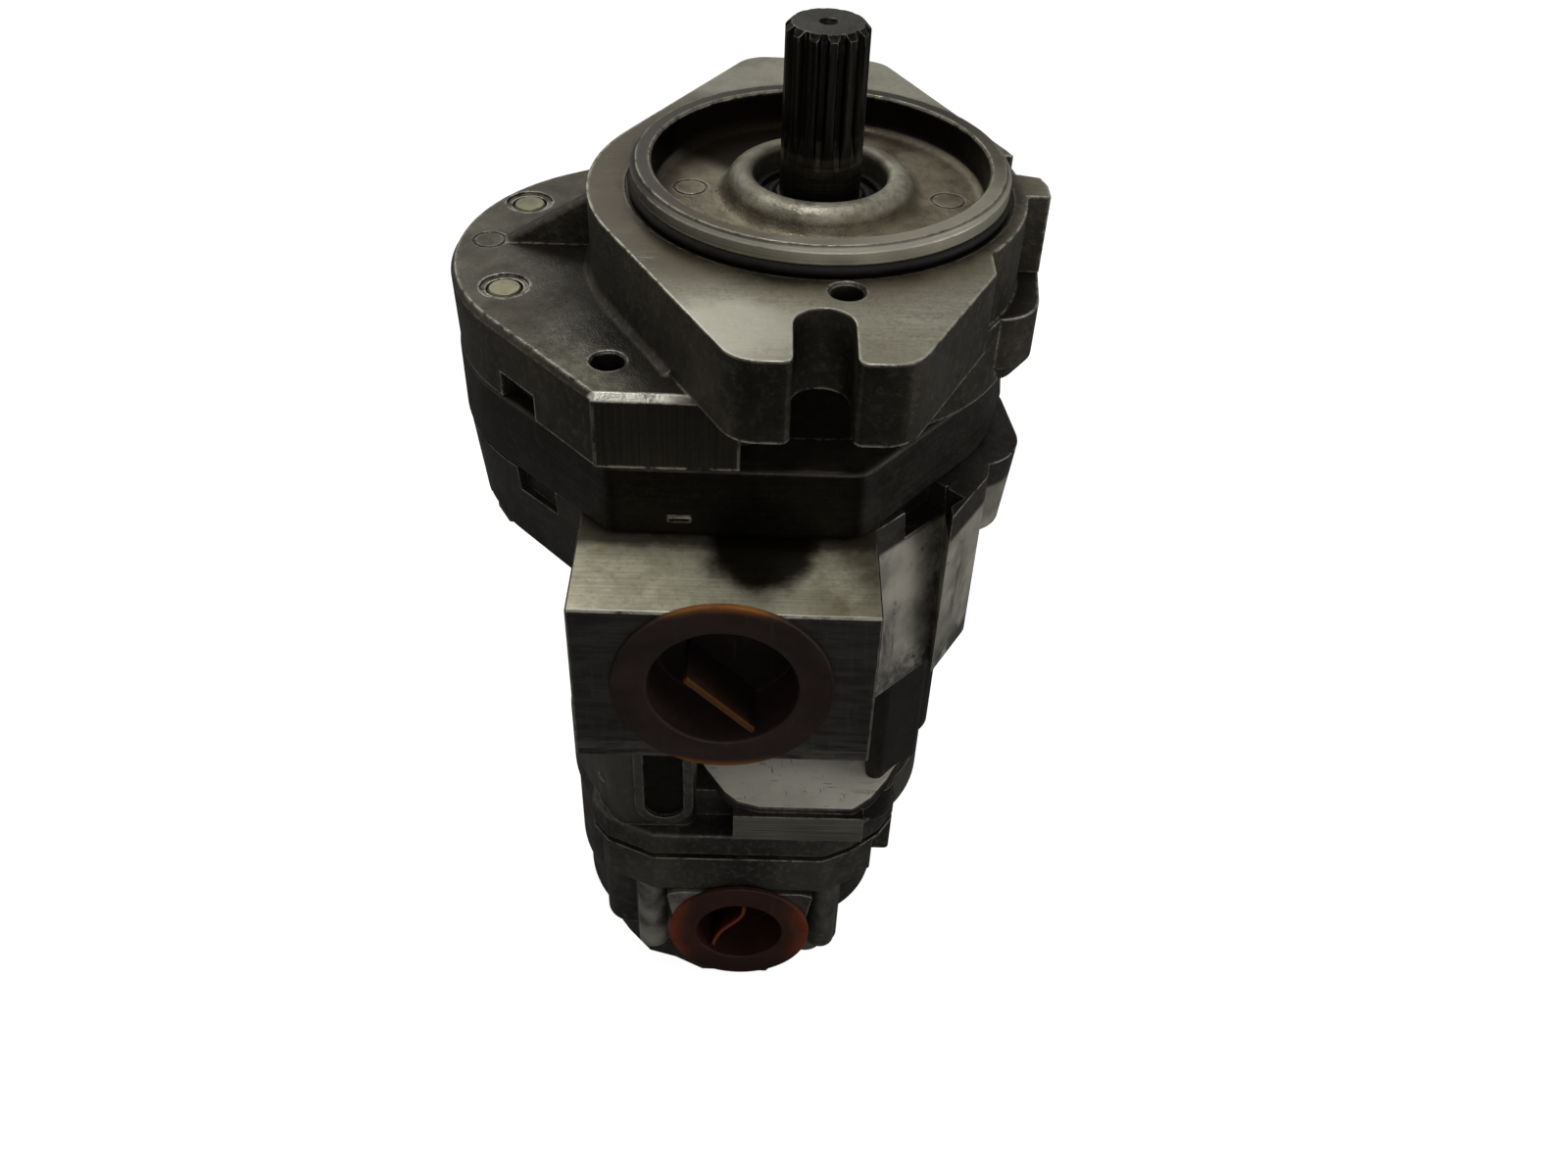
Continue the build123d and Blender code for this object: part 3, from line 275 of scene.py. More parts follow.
def cover_regions(g, col, rough):
    o = g.xyz()
    n = g.n_xyz()
    r = g.radius()
    up = g.ramp(n[2], 0.90, 0.98)
    # mounting face and pilot ring top
    face = g.mul(up, g.band(o[2], -0.0006, 0.0006, 0.0002))
    ringtop = g.mul(up, g.ramp(o[2], 0.0050, 0.0065))
    pilot_side = g.mul(g.band(r, 0.0498, 0.0520, 0.0004), g.band(o[2], 0.0030, 0.0082, 0.0001))
    m = g.math("MAXIMUM", g.math("MAXIMUM", face, ringtop), pilot_side)
    mcol, streak = machined_surface(g, TOP_BASE, TOP_BRIGHT, direction="x")
    mottle = g.noise(420.0, 4.0, 0.7)
    mcol = g.mix(g.mul(g.ramp(mottle, 0.46, 0.66), 0.50), mcol, (0.15, 0.135, 0.095))
    mcol = g.mix(0.30, mcol, (0.37, 0.352, 0.27))
    sand = g.noise(1100.0, 3.0, 0.75)
    mcol = g.mix(g.mul(g.ramp(sand, 0.52, 0.66), 0.30), mcol, (0.085, 0.075, 0.052))
    mcol = g.mix(g.mul(g.ramp(sand, 0.46, 0.34), 0.22), mcol, (0.62, 0.60, 0.50))
    yellow = g.ramp(g.noise(22.0, 5.0, 0.6, dist=0.6), 0.40, 0.70)
    mcol = g.mix(g.mul(yellow, 0.50), mcol, (0.27, 0.235, 0.150))
    # painted shade: the left half of the face is darker than the right
    face_left_shade = g.mul(g.mul(g.ramp(o[0], -0.005, -0.045), g.ramp(o[1], -0.0780, -0.0450)), g.ramp(g.noise(30.0, 4.0, 0.6), 0.12, 0.50))
    mcol = g.mix(g.mul(face_left_shade, 0.86), mcol, (0.074, 0.065, 0.043))
    # painted highlight: the back of the face is lighter, a painted reflection of the light
    face_back_highlight = g.mul(g.ramp(o[1], 0.0500, 0.0640), g.ramp(g.noise(50.0, 5.0, 0.65), 0.30, 0.62))
    mcol = g.mix(g.mul(face_back_highlight, 0.40), mcol, (0.60, 0.58, 0.48))
    # rubbed light patch at the front left of the face, painted brighter as a highlight
    qx = g.mul(g.add(o[0], 0.0240), 1.0 / 0.0260)
    qy = g.mul(g.add(o[1], 0.0760), 1.0 / 0.0150)
    rubbed_patch_highlight = g.math("SQRT", g.add(g.mul(qx, qx), g.mul(qy, qy)))
    rubbed_patch_highlight = g.add(rubbed_patch_highlight, g.mul(g.sub(g.noise(65.0, 6.0, 0.68), 0.5), 1.5))
    mcol = g.mix(g.mul(g.ramp(rubbed_patch_highlight, 1.15, 0.45), 0.65), mcol, (0.62, 0.60, 0.49))
    # brown oil creeping out from under the pilot; the near-black band at its foot is oil and painted shade
    reach = g.add(r, g.mul(g.sub(g.noise(45.0, 5.0, 0.65), 0.5), 0.016))
    near = g.ramp(reach, 0.0525, 0.0700, 1.0, 0.0)
    mcol = g.mix(g.mul(near, 0.80), mcol, (0.085, 0.063, 0.034))
    pilot_foot_oil_shade = g.ramp(reach, 0.0510, 0.0560, 1.0, 0.0)
    mcol = g.mix(g.mul(g.mul(pilot_foot_oil_shade, face), 0.92), mcol, (0.022, 0.016, 0.009))
    # fine bright scratches
    fine = g.ramp(g.voronoi(70.0, vec=g.vscale((1.0, 9.0, 1.0), rot=(0.0, 0.0, 0.35)), feature="DISTANCE_TO_EDGE"), 0.0, 0.007, 1.0, 0.0)
    fine = g.mul(fine, g.ramp(g.noise(60.0, 3.0, 0.5), 0.56, 0.66))
    mcol = g.mix(g.mul(fine, 0.55), mcol, (0.62, 0.60, 0.50))
    sidecol = g.mix(g.ramp(g.noise(1.0, 4.0, 0.6, vec=g.combine(g.mul(o[2], 2500.0), 0.0, 0.0)), 0.3, 0.7), (0.26, 0.245, 0.195), (0.50, 0.48, 0.39))
    mcol = g.mix(pilot_side, mcol, sidecol)
    # painted shade and highlight: the pilot ring is darkened to the left and behind and painted bright in front
    ringall = g.mul(g.ramp(o[2], 0.0025, 0.0032), g.ramp(r, 0.0440, 0.0450))
    front_facing = g.math("DIVIDE", g.add(g.mul(o[0], 0.55), g.mul(o[1], -0.83)), g.math("MAXIMUM", r, 0.001))
    ring_light_side = g.add(front_facing, g.mul(g.sub(g.noise(80.0, 4.0, 0.6), 0.5), 0.5))
    mcol = g.mix(g.mul(ringall, g.ramp(ring_light_side, 0.45, -0.25, 0.0, 0.88)), mcol, (0.050, 0.045, 0.033))
    mcol = g.mix(g.mul(ringall, g.ramp(ring_light_side, 0.45, 0.95, 0.0, 0.50)), mcol, (0.66, 0.63, 0.51))
    col = g.mix(m, col, mcol)
    rough = g.fmix(m, rough, g.ramp(streak, 0.2, 0.8, 0.30, 0.46))
    # machined lobe front with upright brush lines, painted near black as shade on the front-facing face
    front = g.mul(g.ramp(n[1], -0.985, -0.95, 1.0, 0.0), g.mul(g.band(o[1], -0.0718, -0.0710, 0.0001), g.ramp(o[2], -0.0215, -0.0225)))
    bcol, bstreak = machined_surface(g, (0.020, 0.017, 0.014), (0.037, 0.032, 0.026), direction="z")
    col = g.mix(front, col, bcol)
    rough = g.fmix(front, rough, 0.42)
    # painted shade: the flange's front edge is darker than its sides
    flange_front_shade = g.mul(g.ramp(n[1], -0.80, -0.95), g.mul(g.ramp(o[2], -0.0225, -0.0215), g.ramp(o[1], -0.0840, -0.0880)))
    col = g.mix(g.mul(flange_front_shade, 0.45), col, (0.020, 0.017, 0.013))
    # black oil and painted shade down the back of the front slot
    slot_oil_and_shade = g.mul(g.mul(g.ramp(g.math("ABSOLUTE", o[0]), 0.0125, 0.0085), g.ramp(o[2], -0.0222, -0.0232)), g.band(o[1], -0.0700, -0.0520, 0.002))
    col = g.mix(g.mul(slot_oil_and_shade, 0.88), col, (0.006, 0.005, 0.004))
    # inside of the pilot recess: brown oily cast floor
    rec = g.mul(g.ramp(r, 0.0440, 0.0462, 1.0, 0.0), g.ramp(o[2], -0.0032, -0.0026))
    floor = g.mix(g.ramp(g.noise(120.0, 5.0, 0.65), 0.3, 0.7), (0.155, 0.130, 0.083), (0.300, 0.262, 0.180))
    col = g.mix(g.mul(rec, 0.85), col, floor)
    # painted shade: the inner wall of the recess is darkened
    recess_wall_shade = g.mul(g.mul(g.band(r, 0.0425, 0.0462, 0.0003), g.band(o[2], -0.0015, 0.0072, 0.0004)), g.ramp(n[2], 0.7, 0.4))
    recess_wall_shade = g.mul(recess_wall_shade, g.ramp(g.noise(38.0, 4.0, 0.6), 0.10, 0.40))
    col = g.mix(g.mul(recess_wall_shade, 0.80), col, (0.024, 0.020, 0.014))
    # painted shadow lying in the back of the recess, left of the shaft
    sector = g.math("DIVIDE", g.add(g.mul(o[0], -0.42), g.mul(o[1], 0.906)), g.math("MAXIMUM", r, 0.001))
    sector = g.ramp(g.add(sector, g.mul(g.sub(g.noise(60.0, 4.0, 0.6), 0.5), 0.16)), 0.70, 0.86)
    recess_shadow = g.mul(g.mul(sector, g.ramp(g.add(r, g.mul(g.sub(g.noise(70.0, 4.0, 0.6), 0.5), 0.004)), 0.0255, 0.0285)), g.mul(g.ramp(r, 0.0462, 0.0455), g.ramp(o[2], 0.0060, 0.0045)))
    # thinner painted shade all along the foot of the back and left wall
    recess_foot_shade = g.mul(g.ramp(g.sub(g.mul(o[1], 0.8), g.mul(o[0], 0.6)), -0.012, 0.020), g.ramp(g.add(r, g.mul(g.sub(g.noise(55.0, 5.0, 0.65), 0.5), 0.009)), 0.0340, 0.0425))
    recess_foot_shade = g.mul(recess_foot_shade, g.mul(g.ramp(r, 0.0462, 0.0455), g.ramp(o[2], 0.0060, 0.0045)))
    col = g.mix(g.mul(recess_foot_shade, 0.72), col, (0.034, 0.025, 0.016))
    col = g.mix(g.mul(recess_shadow, 0.95), col, (0.008, 0.006, 0.004))
    rough = g.fmix(recess_shadow, rough, 0.60)
    # painted shade: the back part of the recess wall is near black
    recess_back_shade = g.mul(recess_wall_shade, g.ramp(o[1], -0.0150, 0.0100))
    col = g.mix(g.mul(recess_back_shade, 0.95), col, (0.009, 0.007, 0.005))
    # masks painted as shade and oil, made fully metallic in casting()
    g.inky = g.math("MAXIMUM", g.math("MAXIMUM", g.math("MAXIMUM", recess_shadow, recess_back_shade), g.mul(slot_oil_and_shade, 0.9)), g.mul(flange_front_shade, 0.6))
    # polished boss rim; its back and left are darkened as painted shade, leaving a painted highlight in front
    rim = g.mul(g.mul(g.band(r, 0.0175, 0.0262, 0.0008), g.ramp(o[2], 0.0005, 0.0032)), 1.0)
    rimcol = g.mix(g.ramp(g.noise(160.0, 5.0, 0.7), 0.35, 0.65), (0.20, 0.188, 0.142), (0.44, 0.42, 0.335))
    rimcol = g.mix(g.mul(g.ramp(front_facing, 0.55, -0.35), 0.55), rimcol, (0.120, 0.110, 0.080))
    col = g.mix(g.mul(rim, 0.8), col, rimcol)
    # top of the lobe: grey brown cast, painted lighter than the walls as light from above
    lobe = g.mul(up, g.band(o[2], -0.0236, -0.0212, 0.0003))
    lcol = g.mix(g.ramp(g.noise(140.0, 6.0, 0.7), 0.30, 0.70), (0.080, 0.072, 0.051), (0.285, 0.268, 0.200))
    lcol = g.mix(g.mul(g.ramp(g.noise(24.0, 4.0, 0.6), 0.45, 0.7), 0.45), lcol, (0.125, 0.105, 0.062))
    lcol = g.mix(g.mul(g.ramp(o[0], -0.0560, -0.0760), 0.68), lcol, (0.070, 0.062, 0.046))
    speck = g.ramp(g.noise(620.0, 3.0, 0.7), 0.55, 0.68)
    lcol = g.mix(g.mul(speck, 0.35), lcol, (0.030, 0.025, 0.017))
    # painted shade: occlusion darkens the lobe top at the foot of the flange wall
    lobe_foot_shade = g.ramp(g.add(g.cavity(0.046, samples=8), g.mul(g.sub(g.noise(75.0, 5.0, 0.65), 0.5), 0.16)), 0.89, 0.72)
    lcol = g.mix(g.mul(lobe_foot_shade, 0.95), lcol, (0.012, 0.009, 0.006))
    col = g.mix(g.mul(lobe, 0.90), col, lcol)
    # polished front edge of the lobe, painted brighter as a highlight, and dull polish along its outer edge
    lip = g.mul(g.band(o[2], -0.0242, -0.0221, 0.0004), g.mul(g.ramp(o[1], -0.0692, -0.0702), g.ramp(o[0], -0.0300, -0.0400)))
    lip = g.mul(lip, g.ramp(g.noise(260.0, 5.0, 0.75), 0.24, 0.48))
    col = g.mix(g.mul(lip, 0.92), col, (0.74, 0.72, 0.63))
    rough = g.fmix(lip, rough, 0.30)
    return col, rough, m


def plate_regions(g, col, rough):
    o = g.xyz()
    n = g.n_xyz()
    tool = g.noise(1.0, 4.0, 0.6, vec=g.vscale((40.0, 40.0, 900.0)))
    col = g.mix(g.mul(g.ramp(tool, 0.45, 0.68), 0.16), col, (0.11, 0.10, 0.085))
    # painted shade on the plate's front-facing faces
    shade = g.mul(g.ramp(n[1], -0.80, -0.97), g.ramp(o[2], -0.1000, -0.0900))
    col = g.mix(g.mul(shade, 0.72), col, (0.006, 0.005, 0.004))
    g.inky = g.mul(shade, 0.85)
    return col, rough, g.math("MULTIPLY", o[0], 0.0)


def gearcase_regions(g, col, rough):
    o = g.xyz()
    n = g.n_xyz()
    # block top, machined and yellowish
    up = g.ramp(n[2], 0.90, 0.98)
    top = g.mul(up, g.band(o[2], -0.0668, -0.0652, 0.0003))
    top = g.mul(top, g.mul(g.ramp(o[1], -0.0500, -0.0540), g.ramp(o[0], 0.0190, 0.0182)))
    top = g.mul(top, g.ramp(o[0], -0.0625, -0.0615))
    mcol, streak = machined_surface(g, (0.70, 0.655, 0.470), (0.96, 0.92, 0.70), direction="x")
    cloud = g.ramp(g.noise(75.0, 6.0, 0.68, dist=0.4), 0.40, 0.66)
    mcol = g.mix(g.mul(cloud, 0.50), mcol, (0.42, 0.375, 0.235))
    mcol = g.mix(g.mul(g.ramp(g.noise(520.0, 3.0, 0.7), 0.50, 0.68), 0.30), mcol, (0.30, 0.26, 0.16))
    # painted shadow of the flange's right prong on the right of the block top
    right_prong_shadow = g.mul(g.ramp(o[0], -0.0080, 0.0120), g.ramp(g.noise(85.0, 5.0, 0.66), 0.34, 0.62))
    mcol = g.mix(g.mul(right_prong_shadow, 0.72), mcol, (0.165, 0.136, 0.076))
    # painted shade where the block top runs under the plate above
    under_plate_shade = g.add(o[1], g.mul(g.sub(g.noise(60.0, 4.0, 0.6), 0.5), 0.010))
    mcol = g.mix(g.mul(g.ramp(under_plate_shade, -0.0770, -0.0730), 0.80), mcol, (0.060, 0.047, 0.030))
    # painted shadow of the flange tip on the block top, near black
    px = g.mul(g.add(o[0], 0.0130), 1.0 / 0.0150)
    py = g.mul(g.add(o[1], 0.0740), 1.0 / 0.0200)
    flange_tip_shadow = g.math("SQRT", g.add(g.mul(px, px), g.mul(py, py)))
    flange_tip_shadow = g.add(flange_tip_shadow, g.mul(g.sub(g.noise(110.0, 5.0, 0.6), 0.5), 0.7))
    mcol = g.mix(g.mul(g.ramp(flange_tip_shadow, 1.15, 0.70), 0.93), mcol, (0.012, 0.009, 0.006))
    col = g.mix(top, col, mcol)
    rough = g.fmix(top, rough, 0.42)
    g.inky = g.mul(g.mul(top, g.ramp(flange_tip_shadow, 1.15, 0.70)), 0.75)
    # block front: brushed both ways, painted dark as shade on the front-facing face
    front = g.mul(g.ramp(n[1], -0.985, -0.95, 1.0, 0.0), g.ramp(o[1], -0.0996, -0.1004))
    f1 = g.noise(1.0, 5.0, 0.62, vec=g.vscale((70.0, 500.0, 640.0), rot=(0.0, 0.16, 0.0)))
    f2 = g.noise(1.0, 5.0, 0.62, vec=g.vscale((900.0, 900.0, 90.0), rot=(0.0, 0.25, 0.0)))
    fb = g.noise(55.0, 5.0, 0.62)
    fcol = g.mix(g.ramp(f1, 0.30, 0.75), (0.036, 0.033, 0.030), (0.080, 0.074, 0.067))
    fcol = g.mix(g.mul(g.ramp(f2, 0.50, 0.72), 0.40), fcol, (0.105, 0.098, 0.088))
    fcol = g.mix(g.mul(g.ramp(fb, 0.45, 0.70), 0.45), fcol, (0.018, 0.0155, 0.013))
    lowedge = g.mul(g.ramp(o[2], -0.1080, -0.1175), g.ramp(f1, 0.35, 0.60))
    fcol = g.mix(g.mul(lowedge, 0.75), fcol, (0.180, 0.171, 0.155))
    col = g.mix(front, col, fcol)
    rough = g.fmix(front, rough, 0.44)
    arris = g.mul(g.band(n[1], -0.82, -0.58, 0.03), g.mul(g.ramp(o[1], -0.0985, -0.1000), g.ramp(g.noise(200.0, 5.0, 0.7), 0.34, 0.56)))
    col = g.mix(g.mul(arris, 0.8), col, (0.33, 0.315, 0.265))
    # light alloy wall on the +X side of the block
    wall = g.mul(g.ramp(o[0], 0.0176, 0.0182), g.ramp(o[2], -0.0740, -0.0760))
    wall = g.mul(wall, g.mul(g.ramp(n[2], 0.6, 0.3), g.ramp(o[1], -0.0200, -0.0300)))
    wcol = g.mix(g.ramp(g.noise(60.0, 5.0, 0.65), 0.32, 0.70), (0.42, 0.395, 0.33), (0.66, 0.625, 0.54))
    run = g.noise(1.0, 5.0, 0.66, vec=g.vscale((170.0, 170.0, 24.0)))
    wcol = g.mix(g.mul(g.ramp(run, 0.61, 0.70), 0.60), wcol, (0.070, 0.062, 0.052))
    spots = g.mul(g.ramp(g.noise(330.0, 4.0, 0.7), 0.58, 0.66), g.ramp(g.noise(45.0, 3.0, 0.5), 0.48, 0.62))
    wcol = g.mix(g.mul(spots, 0.8), wcol, (0.035, 0.030, 0.026))
    low = g.mul(g.ramp(o[2], -0.1080, -0.1215), g.ramp(g.noise(110.0, 5.0, 0.7), 0.30, 0.55))
    wcol = g.mix(g.mul(low, 0.85), wcol, (0.045, 0.039, 0.033))
    col = g.mix(wall, col, wcol)
    # painted shade in the corner where the wall leaves the block
    block_corner_shade = g.mul(g.band(o[0], 0.0174, 0.0190, 0.0002), g.mul(g.ramp(o[1], -0.0730, -0.0700, 1.0, 0.0), g.ramp(n[1], -0.9, -0.6)))
    col = g.mix(g.mul(block_corner_shade, 0.9), col, (0.012, 0.010, 0.008))
    m = g.math("MAXIMUM", top, g.mul(front, 0.8))
    return col, rough, m


def center_regions(g, col, rough):
    o = g.xyz()
    n = g.n_xyz()
    up = g.ramp(n[2], 0.90, 0.98)
    ledge = g.mul(up, g.band(o[2], -0.1810, -0.1795, 0.0002))
    lcol = g.mix(g.ramp(g.noise(70.0, 5.0, 0.6), 0.3, 0.7), (0.74, 0.70, 0.59), (0.92, 0.88, 0.76))
    smear = g.ramp(g.noise(1.0, 5.0, 0.65, vec=g.vscale((70.0, 260.0, 70.0))), 0.58, 0.70)
    lcol = g.mix(g.mul(smear, 0.35), lcol, (0.20, 0.185, 0.15))
    cut_a = g.ramp(g.noise(1.0, 2.0, 0.5, vec=g.vscale((190.0, 1300.0, 190.0), rot=(0.0, 0.0, 0.25))), 0.655, 0.700)
    cut_b = g.ramp(g.noise(1.0, 2.0, 0.5, vec=g.vscale((1300.0, 230.0, 190.0), rot=(0.0, 0.0, -0.35))), 0.670, 0.710)
    nick = g.mul(g.math("MAXIMUM", cut_a, cut_b), g.ramp(g.noise(80.0, 3.0, 0.5), 0.44, 0.56))
    lcol = g.mix(g.mul(nick, 0.8), lcol, (0.05, 0.045, 0.038))
    col = g.mix(ledge, col, lcol)
    g.chalky = g.mul(ledge, 0.9)
    body = g.mul(g.inv(ledge), g.ramp(o[2], -0.2020, -0.1900))
    col = g.mix(g.mul(g.mul(body, g.ramp(o[0], 0.0050, 0.0300)), 0.80), col, (0.010, 0.0085, 0.007))
    col = g.mix(g.mul(g.mul(body, g.ramp(o[0], -0.0250, -0.0600)), 0.35), col, (0.150, 0.140, 0.122))
    # machined pad below the ledge
    front = g.mul(g.ramp(n[1], -0.985, -0.95, 1.0, 0.0), g.mul(g.ramp(o[1], -0.0670, -0.0674), g.band(o[2], -0.1955, -0.1812, 0.0003)))
    pcol, ps = machined_surface(g, (0.15, 0.138, 0.112), (0.30, 0.28, 0.235), direction="x")
    col = g.mix(front, col, pcol)
    rough = g.fmix(ledge, rough, 0.50)
    # sooty inside of the raised outline on the buttress
    u = g.mul(g.band(o[0], -0.0480, -0.0350, 0.0003), g.mul(g.band(o[2], -0.1900, -0.1470, 0.0004), g.band(o[1], -0.0622, -0.0560, 0.0004)))
    col = g.mix(g.mul(u, 0.95), col, (0.003, 0.0026, 0.002))
    g.inky = u
    return col, rough, g.math("MAXIMUM", ledge, front)


def rear_regions(g, col, rough):
    o = g.xyz()
    lite = g.mul(g.ramp(o[1], -0.0560, -0.0600), g.ramp(g.noise(80.0, 5.0, 0.6), 0.3, 0.7))
    lite = g.mul(lite, g.ramp(o[0], -0.0100, -0.0500, 0.20, 1.0))
    col = g.mix(g.mul(lite, 0.88), col, (0.58, 0.55, 0.475))
    return col, rough, g.math("MULTIPLY", o[0], 0.0)


mats = {}
mats["front_cover"] = casting("cover_iron", extra=cover_regions, dark=(0.036, 0.031, 0.024), mid=(0.085, 0.075, 0.057), edge_r=1.6, cast_grain=0.50,
                              edge_col=(0.74, 0.71, 0.60), edge_amt=0.85)
mats["front_bearing_plate"] = casting("plate_iron", extra=plate_regions, dark=(0.013, 0.011, 0.009), mid=(0.038, 0.033, 0.027), edge_r=0.9, brown=0.12)
mats["front_gear_case"] = casting("case_iron", extra=gearcase_regions, dark=(0.026, 0.023, 0.020), mid=(0.066, 0.060, 0.052), edge_r=0.8)
mats["center_housing"] = casting("center_iron", extra=center_regions, edge_amt=0.45, dark=(0.030, 0.027, 0.024), mid=(0.096, 0.088, 0.077), edge_r=0.9, brown=0.12)
mats["rear_bearing_plate"] = casting("rear_plate_iron", extra=plate_regions, dark=(0.034, 0.031, 0.026), mid=(0.105, 0.097, 0.083), edge_r=0.9, brown=0.12)
mats["rear_gear_case"] = casting("rear_case_iron", extra=rear_regions, dark=(0.030, 0.027, 0.023), mid=(0.090, 0.083, 0.072), edge_r=0.9, brown=0.12)
mats["rear_cover"] = casting("rear_cover_iron", dark=(0.022, 0.019, 0.016), mid=(0.055, 0.050, 0.043), edge_r=0.9, brown=0.12)


def shaft_material():
    g = G("shaft_steel")
    o = g.xyz()
    n = g.n_xyz()
    r = g.radius()
    tip = g.mul(g.ramp(n[2], 0.90, 0.98), g.ramp(o[2], 0.0420, 0.0430))
    turn = g.math("SINE", g.mul(r, 2 * math.pi / 0.00065))
    tipcol = g.mix(g.ramp(turn, -1.0, 1.0), (0.045, 0.040, 0.032), (0.130, 0.120, 0.098))
    tipcol = g.mix(g.mul(g.ramp(g.noise(260.0, 5.0, 0.7), 0.45, 0.65), 0.6), tipcol, (0.035, 0.030, 0.024))
    groove = g.ramp(r, 0.0100, 0.0106, 1.0, 0.0)
    along = g.noise(1.0, 4.0, 0.6, vec=g.vscale((900.0, 900.0, 40.0)))
    flank = g.mix(g.ramp(along, 0.3, 0.7), (0.007, 0.0060, 0.005), (0.028, 0.024, 0.019))
    crest = g.mix(g.ramp(along, 0.3, 0.7), (0.012, 0.0100, 0.008), (0.040, 0.035, 0.029))
    col = g.mix(groove, crest, flank)
    black = g.mul(g.ramp(g.noise(150.0, 6.0, 0.7), 0.46, 0.60), g.mul(groove, g.ramp(o[2], 0.010, 0.030)))
    col = g.mix(g.mul(black, 0.85), col, (0.018, 0.015, 0.013))
    plain = g.ramp(o[2], 0.0125, 0.0105)
    pcol = g.mix(g.ramp(g.noise(1.0, 3.0, 0.5, vec=g.vscale((60.0, 60.0, 1400.0))), 0.3, 0.7), (0.028, 0.024, 0.019), (0.070, 0.062, 0.050))
    col = g.mix(plain, col, pcol)
    col = g.mix(tip, col, tipcol)
    e = g.mul(g.edge(0.6 * MM, 0.03, 0.18), g.ramp(g.noise(300.0, 4.0, 0.7), 0.42, 0.60))
    e = g.mul(e, g.ramp(o[2], 0.0380, 0.0425, 0.10, 1.0))
    col = g.mix(g.mul(e, 0.85), col, (0.62, 0.60, 0.55))
    nrm = g.bump(g.add(g.mul(along, 0.5), g.mul(g.mul(turn, tip), 0.35)), 0.18, 0.0002, normal=g.bevel_normal(0.3 * MM))
    return g.finish(col, g.ramp(along, 0.2, 0.8, 0.26, 0.44), metallic=0.95, normal=nrm)


def steel(name, a, b, rough=(0.28, 0.46), edge_col=(0.6, 0.59, 0.56)):
    g = G(name)
    blot = g.noise(180.0, 5.0, 0.65)
    line = g.noise(1.0, 4.0, 0.6, vec=g.vscale((400.0, 400.0, 1500.0)))
    col = g.mix(g.ramp(blot, 0.3, 0.7), a, b)
    ao = g.cavity(0.006)
    col = g.mix(g.mul(g.ramp(ao, 0.3, 0.85, 1.0, 0.0), 0.7), col, (0.02, 0.016, 0.012))
    e = g.mul(g.edge(0.4 * MM, 0.03, 0.18), g.ramp(g.noise(300.0, 4.0, 0.7), 0.4, 0.6))
    col = g.mix(g.mul(e, 0.7), col, edge_col)
    nrm = g.bump(g.add(line, g.mul(blot, 0.6)), 0.12, 0.0002, normal=g.bevel_normal(0.25 * MM))
    return g.finish(col, g.ramp(blot, 0.2, 0.8, *rough), metallic=0.95, normal=nrm)


def rubber(name):
    g = G(name)
    blot = g.noise(200.0, 5.0, 0.65)
    dust = g.ramp(g.noise(80.0, 5.0, 0.6), 0.5, 0.72)
    col = g.mix(g.ramp(blot, 0.3, 0.7), (0.004, 0.0035, 0.003), (0.012, 0.010, 0.008))
    col = g.mix(g.mul(dust, 0.18), col, (0.05, 0.040, 0.028))
    nrm = g.bump(g.noise(900.0, 3.0, 0.6), 0.15, 0.0002)
    return g.finish(col, g.ramp(blot, 0.2, 0.8, 0.50, 0.75), metallic=0.0, normal=nrm, spec=0.3)


